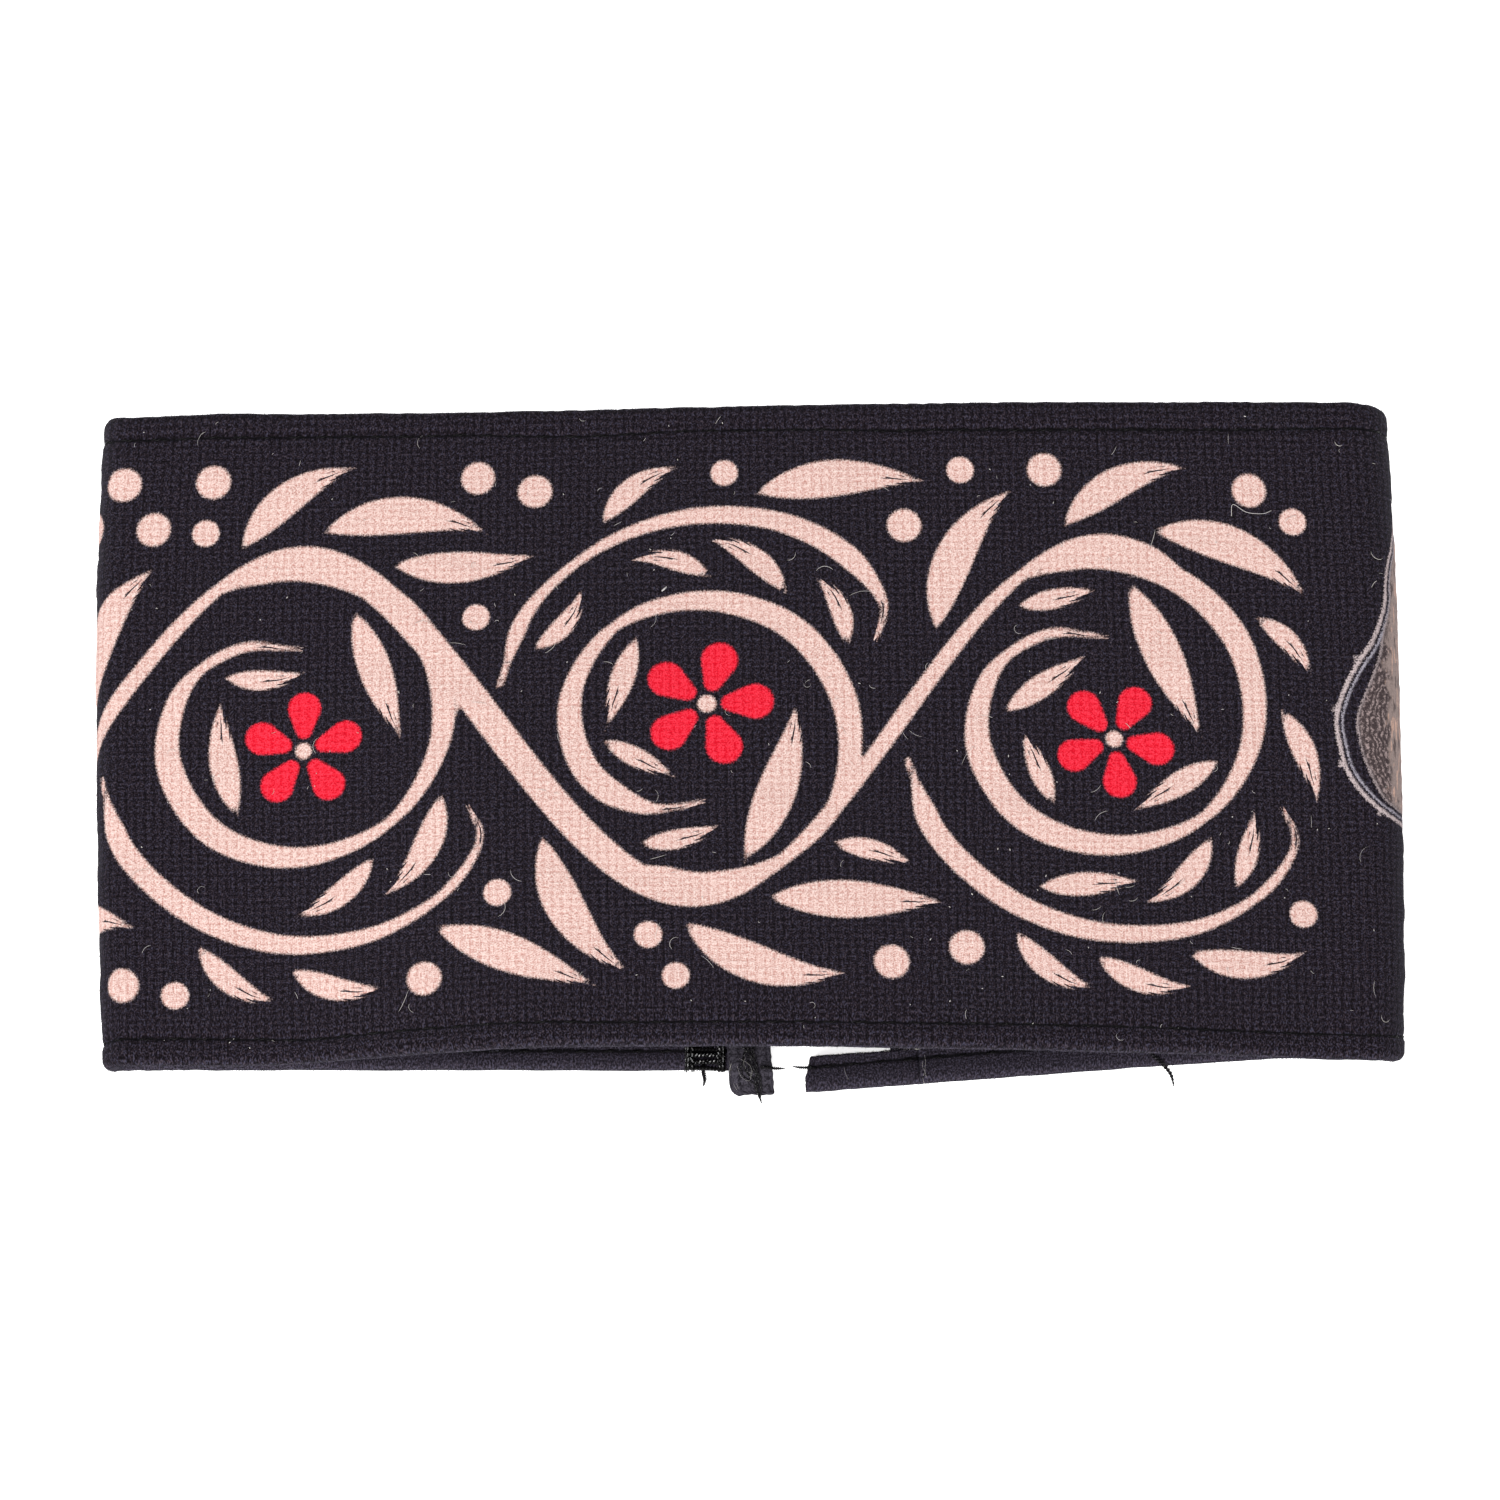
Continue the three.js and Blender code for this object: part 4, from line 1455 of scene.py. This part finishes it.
tab_y = np.concatenate([steps_between(TAB_LOW_END, TAB_SAG_END, 0.27),
                        steps_between(TAB_SAG_END, TAB_TOP_END, 1.1), [TAB_TOP_END]])
facing, facing_column, facing_row = grid_piece("facing_tab", TAB_COLUMNS, len(tab_y))
y = tab_y[facing_row]
round_share = 2 * facing_column / (TAB_COLUMNS - 1) - 1
turn = np.clip(round_share / TAB_FOLD_SHARE, -1, 1) * math.pi / 2
left, right = tab_value(y, "left"), tab_value(y, "right") - TAB_UNDER_SHORTER * (round_share <= 0)
flat_share = np.clip((np.abs(round_share) - TAB_FOLD_SHARE) / (1 - TAB_FOLD_SHARE), 0, 1)
fold_x = left + TAB_LAYER / 2 + TAB_FOLD_RADIUS * (1 - np.cos(turn))
tab_x = blend_between(fold_x, right, flat_share)
tab_z = tab_value(y, "low") + TAB_REST + TAB_LAYER / 2 + TAB_FOLD_RADIUS * (1 + np.sin(turn))
tab_z += (TAB_WAVES * slow_waves(tab_x, y, seed=12, longest=9.0)
          + TAB_RUFFLE * np.sin(y * 2.1) * flat_share**4)
tab_x += TAB_RUFFLE * np.sin(y * 5.3) * flat_share**6
ragged_end = (0.04 * np.sin(tab_x * 6.1) + 0.05 * np.sin(tab_x * 2.3 + 1)) * (facing_row == 0)
tab_points = np.stack([tab_x, y + ragged_end, tab_z], 1)
shape_grid(facing.data, tab_points, np.stack([round_share * (right - left), y], 1))
thicken(facing, TAB_LAYER)
finish_piece(facing, "facing_cloth", facing_finish)
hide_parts("end_tab")

# %% [markdown]
# The stretch webbing
# A short piece of elastic closes the loop behind the front. Elastic is woven in fine ribs over
# rubber, so its surface runs in even round ribs along its length. Its ribs are in the mesh, because
# they are as coarse as the cloth is thick, and two double rows of stitches hold its ends.

# %% Rib the webbing
WEBBING_X = (-2.6, 27.0)
WEBBING_HALF_HEIGHT = 30.0
WEBBING_MIDDLE_Z = 2.25
WEBBING_THICKNESS = 1.1
WEBBING_RIB = 1.2
WEBBING_RIB_HEIGHT = 0.11
WEBBING_PULL = {"depth": 0.12, "flattens": 0.6, "reach": 0.5}
WEBBING_NARROWING = 0.012
WEBBING_STITCH_COLUMNS = (-1.2, 0.8, 23.5, 25.5)
WEBBING_GRID = (45, 301)
ELASTIC_PICK = 0.7
ELASTIC_LOW = (0.004, 0.0035, 0.0045)
ELASTIC_HIGH = (0.026, 0.023, 0.030)

webbing, webbing_column, webbing_row = grid_piece("stretch_webbing", *WEBBING_GRID)
x_share = webbing_column / (WEBBING_GRID[0] - 1)
x = blend_between(*WEBBING_X, x_share)
y = WEBBING_HALF_HEIGHT * (2 * webbing_row / (WEBBING_GRID[1] - 1) - 1)
ribs = WEBBING_RIB_HEIGHT * np.cos(2 * math.pi * y / WEBBING_RIB)
pulled = sum(bell(x - column, WEBBING_PULL["reach"]) for column in WEBBING_STITCH_COLUMNS)
narrowed = y * (1 - WEBBING_NARROWING * np.sin(math.pi * x_share))
z = WEBBING_MIDDLE_Z + ribs * (1 - WEBBING_PULL["flattens"] * np.clip(pulled, 0, 1))
z -= WEBBING_PULL["depth"] * pulled
shape_grid(webbing.data, np.stack([x, narrowed, z], 1), np.stack([x, y], 1))
thicken(webbing, WEBBING_THICKNESS)

elastic = Finish("ribbed_elastic")
elastic_place = elastic.flat_place()
picks = abs(elastic.math("SINE", elastic.split(elastic_place)[0] * (math.pi / ELASTIC_PICK)))
elastic_fluff = elastic.noise(elastic.stretch(elastic_place, 2.0, 6.0))
elastic_grain = picks * 0.4 + elastic_fluff * 0.6
elastic.bump(elastic_grain, 0.12 * MM, 0.8)
elastic_finish = elastic.surface(
    Base_Color=elastic.mix(elastic.ramp(elastic_grain, 0.25, 0.8), ELASTIC_LOW, ELASTIC_HIGH),
    Roughness=elastic.ramp(elastic_fluff, 0.3, 0.7, 0.55, 0.8),
    Specular_IOR_Level=0.25,
)
finish_piece(webbing, "elastic_webbing", elastic_finish)
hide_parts("elastic_strip")

# %% [markdown]
# Join stitches
# The webbing's ends and the facing are sewn down by short stitches in straight rows. They are the
# same twisted pair as the hem's, but thinner and closer, and each runs up from its own place.

# %% Stitches along the webbing's ends and down the facing
JOIN_PITCH = 2.6
JOIN_GAP = 0.4
JOIN_DIVE = 0.45
JOIN_THICKNESS = 0.85
WEBBING_ROW = {"from": -28.6, "to": 27.0, "lean": 0.1}
FACING_LINES = (-2.1, 2.2)
FACING_ROW = {"from": -42.5, "to": 44.0, "lean": 0.06, "lift": 0.03}
join_parts = []


def join_stitch(x, y, height, lean):
    """A stitch that runs up from one place, with its ends sunk below the surface."""
    start = np.array((x, y, height))
    share = np.linspace(0, 1, 9)[:, None]
    path = blend_between(start, np.array((x + lean, y + JOIN_PITCH - JOIN_GAP, height)), share)
    path[:, 2] -= JOIN_DIVE * np.abs(2 * share[:, 0] - 1) ** 4
    join_parts.append(lay_thread(STITCH_PAIR, path, thickness=JOIN_THICKNESS))


for column in WEBBING_STITCH_COLUMNS:
    for y in np.arange(WEBBING_ROW["from"], WEBBING_ROW["to"], JOIN_PITCH):
        join_stitch(column, y, WEBBING_MIDDLE_Z + WEBBING_THICKNESS / 2, WEBBING_ROW["lean"])
for column in FACING_LINES:
    for y in np.arange(FACING_ROW["from"], FACING_ROW["to"], JOIN_PITCH):
        join_stitch(column, y, tab_top(y) + FACING_ROW["lift"], FACING_ROW["lean"])
join_stitches = joined_piece("join_stitches", join_parts)
finish_piece(join_stitches, "sewing_thread", thread_finish)

# %% [markdown]
# The bar tack
# Beside the tab a machine has laid thick threads side by side and wrapped both ends, to keep the
# hem from tearing. Six cords of the twisted pair lie in a row, and loops go over their ends.

# %% Lay the bar tack
TACK_LEFT, TACK_RIGHT = -8.95, -3.75
# Each cord's painted glint scale sets how many painted highlights its plies get.
TACK_CORDS = [
    {"y": -46.3, "painted_glint_scale": 0.3}, {"y": -45.45, "painted_glint_scale": 1.0}, {"y": -44.5, "painted_glint_scale": 1.0},
    {"y": -43.5, "painted_glint_scale": 0.6}, {"y": -42.6, "painted_glint_scale": 0.6}, {"y": -41.6, "painted_glint_scale": 0.6},
]
TACK_MIDDLE = -6.25
TACK_CORD_Z = 3.35
TACK_BASE_Z = 2.75
TACK_WRAP_Z = {"base": 2.55, "side": 3.4, "top": 3.8}
TACK_THICKNESS = {"cord": 1.55, "wrap": 1.15}
TACK_STRAY = {"cord": 0.05, "wrap": 0.08}
TACK_WRAPS = [
    {"x": TACK_LEFT + 0.15, "lean": 0.5}, {"x": TACK_LEFT + 0.75, "lean": -0.3},
    {"x": TACK_RIGHT - 0.1, "lean": 0.4}, {"x": TACK_RIGHT - 0.65, "lean": -0.35},
]
TACK_WRAP_ROWS = (-45.95, -45.15, -44.35, -43.55, -42.75, -41.95)

tack_seed = np.random.default_rng(6)
tack_parts = []
for cord in TACK_CORDS:
    row = cord["y"]
    wobble = tack_seed.normal(0, TACK_STRAY["cord"], 3)
    points, faces, crest = lay_thread(CORD_PAIR, smooth_path([
        (TACK_LEFT - 0.1, row, TACK_BASE_Z),
        (TACK_LEFT + 0.6, row + wobble[0], TACK_CORD_Z),
        (TACK_MIDDLE, row + wobble[1], TACK_CORD_Z + 0.05),
        (TACK_RIGHT - 0.6, row + wobble[2], TACK_CORD_Z),
        (TACK_RIGHT + 0.1, row, TACK_BASE_Z),
    ]), thickness=TACK_THICKNESS["cord"])
    tack_parts.append((points, faces, crest * cord["painted_glint_scale"]))
for loop in TACK_WRAPS:
    x, lean = loop["x"], loop["lean"]
    for row in TACK_WRAP_ROWS:
        shift = tack_seed.normal(0, TACK_STRAY["wrap"])
        tack_parts.append(lay_thread(STITCH_PAIR, smooth_path([
            (x - lean / 2, row - 0.6, TACK_WRAP_Z["base"]),
            (x - lean / 3, row - 0.45, TACK_WRAP_Z["side"]),
            (x + shift, row, TACK_WRAP_Z["top"]),
            (x + lean / 3, row + 0.4, TACK_WRAP_Z["side"]),
            (x + lean / 2, row + 0.55, TACK_WRAP_Z["base"]),
        ]), thickness=TACK_THICKNESS["wrap"]))
bar_tack_cords = joined_piece("bar_tack_cords", tack_parts)
finish_piece(bar_tack_cords, "sewing_thread", cord_finish)
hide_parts("bar_tack")

# %% [markdown]
# Loose thread ends
# Where a seam stops, its threads are cut and stick out. On the tab they lie in a tangle that runs
# down to a frayed tip. Each end is the twisted pair along a given line, thinner at its tip.

# %% Lay the thread ends
END_TAPER = ([0, 0.7, 1], [1, 0.85, 0.3])
TANGLE_TAPER = ([0, 0.88, 1], [1, 1, 0.5])
TANGLE_THICKNESS = 0.8
THREAD_ENDS = [
    (1.65, [(-6.5, -45.6, 3.0), (-6.55, -46.6, 2.6), (-6.35, -47.5, 1.7), (-6.6, -48.35, 1.1)]),
    (1.6, [(-4.5, -45.3, 3.0), (-4.05, -45.9, 2.9), (-3.6, -46.3, 2.8), (-3.1, -46.35, 2.9)]),
    (1.15, [(1.4, -46.5, 4.62), (2.6, -46.5, 4.62), (3.7, -46.5, 4.2), (4.9, -46.4, 3.7)]),
    (1.1, [(9.2, -46.15, 2.9), (8.2, -46.1, 2.9), (7.2, -46.0, 2.6), (6.0, -45.8, 2.5)]),
    (1.5, [(56.4, -43.9, 2.95), (57.7, -45.0, 3.05), (59.4, -46.7, 2.2), (59.95, -48.3, 0.9)]),
]
TANGLE = [
    (0.95, 0.10, [(-0.1, -42.9), (0.5, -44.6), (0.7, -46.4), (1.15, -48.0), (1.0, -49.3), (1.3, -50.2),
                  (1.65, -51.15)]),
    (0.85, 0.22, [(0.8, -42.9), (0.4, -44.8), (0.95, -46.4), (0.75, -47.8), (0.75, -49.2),
                  (1.15, -50.05), (1.5, -50.95)]),
    (0.8, 0.30, [(-0.6, -42.9), (0.0, -44.8), (0.3, -46.4), (1.35, -47.6), (1.55, -49.2), (1.45, -50.1),
                 (1.6, -50.9)]),
    (0.75, 0.12, [(-0.6, -43.2), (-1.0, -45.2), (-1.3, -46.7), (-0.85, -47.7), (0.1, -48.3),
                  (0.8, -48.9), (1.2, -50.2)]),
    (0.7, 0.26, [(-0.1, -43.4), (-0.8, -44.8), (-0.95, -46.2), (-0.4, -47.3), (0.4, -47.9),
                 (0.9, -48.7), (1.15, -49.7)]),
    (0.65, 0.34, [(-1.1, -43.6), (-0.4, -44.3), (0.3, -45.2), (0.1, -46.2), (-0.5, -46.9),
                  (-0.2, -47.6), (0.4, -47.2), (0.5, -46.1)]),
    (0.7, 0.18, [(0.9, -43.0), (0.2, -44.2), (-0.4, -45.4), (0.1, -46.6), (0.8, -47.3), (0.75, -48.4)]),
]
SAG_OFF_THE_TAB = 0.5

end_parts = [lay_thread(CORD_PAIR, smooth_path(points), size, END_TAPER) for size, points in THREAD_ENDS]
for size, lift, points in TANGLE:
    x, y = np.array(points).T
    z = tab_top(y) + lift + SAG_OFF_THE_TAB * np.minimum(y - TAB_LOW_END, 0)
    path = smooth_path(list(zip(x, y, z)))
    end_parts.append(lay_thread(CORD_PAIR, path, TANGLE_THICKNESS * size, TANGLE_TAPER))
thread_ends = joined_piece("thread_ends", end_parts)
finish_piece(thread_ends, "sewing_thread", frayed_finish)

# %% [markdown]
# Lint and pile
# Brushed cloth sheds short fibres. Pale ones that have settled on it show as fine arcs and specks,
# and its own dark pile stands out along every edge, which softens the outline. A hair system would
# not be kept in the model, so both are thin tubes: each is a line of three or more points, first
# placed in the strip's own flat measures and then laid round the route with it.


# %% Tubes along many lines at once
def tubes(paths, radii, sides=3):
    """Points and faces of round tubes along lines that all have the same number of points."""
    ahead = np.gradient(paths, axis=1)
    ahead /= np.linalg.norm(ahead, axis=2, keepdims=True)
    reference = np.where(np.abs(ahead[:, :1, 2:]) < 0.8, (0.0, 0.0, 1.0), (1.0, 0.0, 0.0))
    side = np.cross(np.broadcast_to(reference, ahead.shape), ahead)
    side /= np.linalg.norm(side, axis=2, keepdims=True)
    up = np.cross(ahead, side)
    turn = 2 * math.pi * np.arange(sides) / sides
    ring = np.cos(turn)[:, None] * side[:, :, None] + np.sin(turn)[:, None] * up[:, :, None]
    points = paths[:, :, None] + np.broadcast_to(radii, paths.shape[:2])[:, :, None, None] * ring
    corner = np.arange(points[..., 0].size).reshape(points.shape[:3])
    here, there = corner[:, :-1], corner[:, 1:]
    walls = np.stack([here, np.roll(here, -1, 2), np.roll(there, -1, 2), there], -1).reshape(-1, 4)
    ends = np.concatenate([corner[:, 0, ::-1], corner[:, -1]])
    return points.reshape(-1, 3), walls.tolist() + ends.tolist()


def on_cloth(s, v, lift):
    """Places a little above the strip's face."""
    return wrap(s, v, face_surface(s, v) - lift)


# %% Pale lint
LINT_ARCS = 190
LINT_SPECKS = 110
ARC_PROFILE = (0.5, 1, 1, 1, 1, 0.8, 0.3)
SPECK_PROFILE = (0.5, 1, 0.5)
PLACED_LIFT = 0.12
FRONT_X_TO_S = FRONT_MIDDLE + 0.6
LONE_HAIR = [(68.4, 78.2), (68.7, 79.9), (70.6, 78.8), (72.9, 78.6), (74.2, 79.1)]
LONE_HAIR_RADIUS = 0.036
CHIP = [(-12.8, 67.2), (-12.45, 67.5), (-12.1, 67.85)]
CHIP_RADII = (0.09, 0.13, 0.075)
CLOSURE_HAIRS = [
    [(-12.2, -42.9, 3.3), (-11.0, -42.2, 3.4), (-9.8, -42.1, 3.4), (-8.9, -43.2, 3.8)],
    [(-2.9, -45.6, 4.62), (-2.7, -46.6, 4.2), (-2.3, -47.8, 3.6), (-1.6, -49.2, 3.25)],
    [(-2.6, -45.9, 4.62), (-2.9, -46.8, 4.1), (-2.6, -48.0, 3.5), (-1.9, -49.4, 3.2)],
    [(-0.6, -45.0, 4.9), (-0.9, -46.0, 4.9), (-0.3, -47.0, 4.3), (0.5, -47.4, 4.2)],
    [(-1.8, -46.3, 4.75), (-1.3, -47.7, 4.2), (-0.1, -48.3, 4.0), (0.4, -46.9, 4.6)],
    [(-1.5, -45.2, 4.75), (-0.4, -45.9, 4.95), (0.2, -46.7, 4.8), (0.0, -47.9, 4.2)],
    [(13.3, -46.2, 3.1), (13.5, -47.0, 3.1), (13.9, -47.8, 2.9), (14.4, -48.6, 2.4)],
    [(24.4, -45.2, 3.35), (24.35, -46.0, 3.35), (24.65, -46.7, 3.3), (24.5, -47.3, 3.2)],
    [(24.6, -44.3, 3.4), (24.8, -45.2, 3.4), (24.7, -46.4, 3.35), (24.9, -47.6, 3.1)],
    [(24.4, -47.5, 3.1), (24.5, -48.1, 2.9), (24.8, -48.5, 2.5), (25.2, -48.7, 2.2)],
]
CLOSURE_HAIR_RADIUS = 0.014
FRINGE_HAIRS = 380
FRINGE_RADIUS = 0.018
FRINGE_FROM_END = (17, 1.1)
FRINGE_REACH = (0.05, 0.4)
LINT_MARGIN = 1.5
LINT_END_MARGIN = 0.8
LINT_LOW = (0.30, 0.29, 0.31)
LINT_HIGH = (0.62, 0.58, 0.52)
lint_seed = np.random.default_rng(13)


def lint_tubes(count, lengths, curl, radii, profile, sides):
    """Curved hairs lying anywhere on the face, thinner towards their ends."""
    steps = np.linspace(0, 1, len(profile))
    s = lint_seed.uniform(LEFT_BACK_END, RIGHT_BACK_START, count)
    v = lint_seed.uniform(LINT_MARGIN, CLOTH_HEIGHT - LINT_MARGIN, count)
    length = lengths[0] + (lengths[1] - lengths[0]) * lint_seed.random(count) ** 2.5
    heading = lint_seed.uniform(0, 2 * math.pi, count)[:, None]
    heading = heading + lint_seed.normal(0, curl, count)[:, None] * steps
    step = length[:, None] / (len(steps) - 1)
    line_s = s[:, None] + np.cumsum(np.cos(heading) * step, 1)
    line_v = v[:, None] + np.cumsum(np.sin(heading) * step, 1)
    line_v = np.clip(line_v, LINT_END_MARGIN, CLOTH_HEIGHT - LINT_END_MARGIN)
    lift = 0.05 + 0.12 * np.sin(math.pi * steps) * lint_seed.random(count)[:, None]
    thickness = lint_seed.uniform(*radii, count)[:, None] * profile
    return tubes(on_cloth(line_s, line_v, lift), thickness, sides)


def placed_line(points):
    """A line given on the front, from X on the front and height up the cloth."""
    x, v = np.array(points).T
    return on_cloth(x + FRONT_X_TO_S, v, PLACED_LIFT)[None]


arcs = lint_tubes(LINT_ARCS, lengths=(0.5, 3.6), curl=1.6, radii=(0.018, 0.034),
                  profile=ARC_PROFILE, sides=3)
specks = lint_tubes(LINT_SPECKS, lengths=(0.18, 0.4), curl=0.5, radii=(0.04, 0.08),
                    profile=SPECK_PROFILE, sides=5)
closure_lines = np.stack([smooth_path(row, 3) for row in CLOSURE_HAIRS])

half_steps = np.array([0, 0.5, 1])
fringe_ends = [CLOTH_LENGTH - from_end for from_end in FRINGE_FROM_END]
fringe_s = lint_seed.uniform(*fringe_ends, FRINGE_HAIRS)[:, None]
fringe_reach = lint_seed.uniform(*FRINGE_REACH, FRINGE_HAIRS)[:, None]
fringe_s = fringe_s + lint_seed.normal(0, 0.25, FRINGE_HAIRS)[:, None] * half_steps
fringe_v = HEM_WIDTH - 0.15 + fringe_reach * half_steps
fringe_depth = hem_surface(fringe_s, fringe_v) + 0.02 - 0.5 * lint_seed.random(FRINGE_HAIRS)[:, None]

lint = joined_piece("lint", [
    arcs,
    specks,
    tubes(placed_line(smooth_path(LONE_HAIR, 6)), LONE_HAIR_RADIUS, sides=5),
    tubes(closure_lines, CLOSURE_HAIR_RADIUS),
    tubes(placed_line(CHIP), CHIP_RADII, sides=6),
    tubes(wrap(fringe_s, fringe_v, fringe_depth), FRINGE_RADIUS),
])
lint_finish = Finish("pale_lint")
lint_tone = lint_finish.noise(lint_finish.object_place(), 400.0)
lint_finish.surface(Base_Color=lint_finish.mix(lint_tone, LINT_LOW, LINT_HIGH), Roughness=0.7)
finish_piece(lint, None, lint_finish.material)

# %% [markdown]
# The dark pile
# More than half of it stands round the hems' folded edges, where it breaks up the outline. The rest
# leans on the undyed face, thickest on the two folds, and none of it grows out of the print. Each
# hair is a line of three points that thins to its tip.

# %% Dark pile along the edges and over the face
PILE_ON_EDGES = 5200
PILE_ON_FACE = 3600
PILE_REACH = 1.2
PILE_PROFILE = (1.0, 0.8, 0.25)
PILE_RADII = (0.016, 0.03)
PILE_LEANS = (0.3, 1.2)
PILE_MARGIN = 1.5
PILE_LOWEST = 0.03
EDGE_TURN_SPREAD = 0.7
PILE_LOW = (0.012, 0.009, 0.014)
PILE_HIGH = (0.065, 0.058, 0.085)
UNDYED_MARGIN = 0.4
MEDALLION_MARGIN = 1
pile_seed = np.random.default_rng(14)


def undyed(s, v):
    """True where a place on the strip has neither print nor medallion."""
    places = np.stack([s - FRONT_MIDDLE, v - CLOTH_HEIGHT / 2], 1)
    in_print = (places[:, 0] > design.GRID_LEFT) & (places[:, 0] < design.GRID_RIGHT)
    clear = ~in_print | (design.clear_distance(places) > UNDYED_MARGIN)
    from_medallion = np.stack([places[:, 0] - MEDALLION_FROM_MIDDLE, v], 1)
    return clear & (signed_distance(from_medallion, medallion_outline) < -MEDALLION_MARGIN)


def pile_root(s, round_turn, radius, on_top_edge):
    """A place round a folded edge: turn is 0 on the hem's inside and pi on the face."""
    inset = HEM_RADIUS - radius * np.sin(round_turn) - 0.9 * edge_knobs(s)
    depth = HEM_RADIUS + radius * np.cos(round_turn) - cloth_swell(s, np.where(on_top_edge, CLOTH_HEIGHT, 0))
    return wrap(s, np.where(on_top_edge, CLOTH_HEIGHT - inset, inset), depth)


top_edge = pile_seed.random(PILE_ON_EDGES)[:, None] < 0.5
edge_s = pile_seed.uniform(0, CLOTH_LENGTH, PILE_ON_EDGES)[:, None]
edge_s = np.where(top_edge, np.minimum(edge_s, TAIL_START), edge_s)
round_turn = pile_seed.normal(math.pi / 2, EDGE_TURN_SPREAD, PILE_ON_EDGES)[:, None]
reach = pile_seed.gamma(3.0, 0.06, PILE_ON_EDGES)[:, None] + 0.1
edge_lines = pile_root(
    edge_s + pile_seed.normal(0, 0.5, PILE_ON_EDGES)[:, None] * half_steps * reach,
    round_turn + pile_seed.normal(0, 0.35, PILE_ON_EDGES)[:, None] * half_steps**2,
    PILE_REACH + reach * half_steps,
    top_edge,
)

spare = PILE_ON_FACE * 2
near_folds = spare // 3
face_s = pile_seed.uniform(LEFT_BACK_END, RIGHT_BACK_START, spare)
by_left_fold = pile_seed.uniform(LEFT_BACK_END, FRONT_START, near_folds)
by_right_fold = pile_seed.uniform(FRONT_END, RIGHT_BACK_START, near_folds)
face_s[:near_folds] = np.where(np.arange(near_folds) % 2, by_left_fold, by_right_fold)
face_v = pile_seed.uniform(PILE_MARGIN, CLOTH_HEIGHT - PILE_MARGIN, spare)
kept = np.where(undyed(face_s, face_v))[0][:PILE_ON_FACE]
face_s, face_v = face_s[kept, None], face_v[kept, None]
heading = pile_seed.uniform(0, 2 * math.pi, len(kept))[:, None]
reach = pile_seed.gamma(3.0, 0.09, len(kept))[:, None] + 0.12
lean = pile_seed.uniform(*PILE_LEANS, len(kept))[:, None] * reach * half_steps
rise = reach * (half_steps - 0.45 * half_steps**2)
face_depth = face_surface(face_s, face_v) + 0.04 - rise
face_lines = wrap(face_s + np.cos(heading) * lean, face_v + np.sin(heading) * lean, face_depth)

pile_lines = np.concatenate([edge_lines, face_lines])
pile_lines[..., 2] = np.maximum(pile_lines[..., 2], PILE_LOWEST)
pile_radii = pile_seed.uniform(*PILE_RADII, len(pile_lines))[:, None] * PILE_PROFILE
pile_fuzz = joined_piece("pile_fuzz", [tubes(pile_lines, pile_radii)])
pile_finish = Finish("dark_pile")
pile_tone = pile_finish.ramp(pile_finish.noise(pile_finish.object_place(), 600.0), 0.3, 0.7)
pile_finish.surface(
    Base_Color=pile_finish.mix(pile_tone, PILE_LOW, PILE_HIGH),
    Roughness=0.8,
    Specular_IOR_Level=0.15,
)
finish_piece(pile_fuzz, "printed_cloth", pile_finish.material)
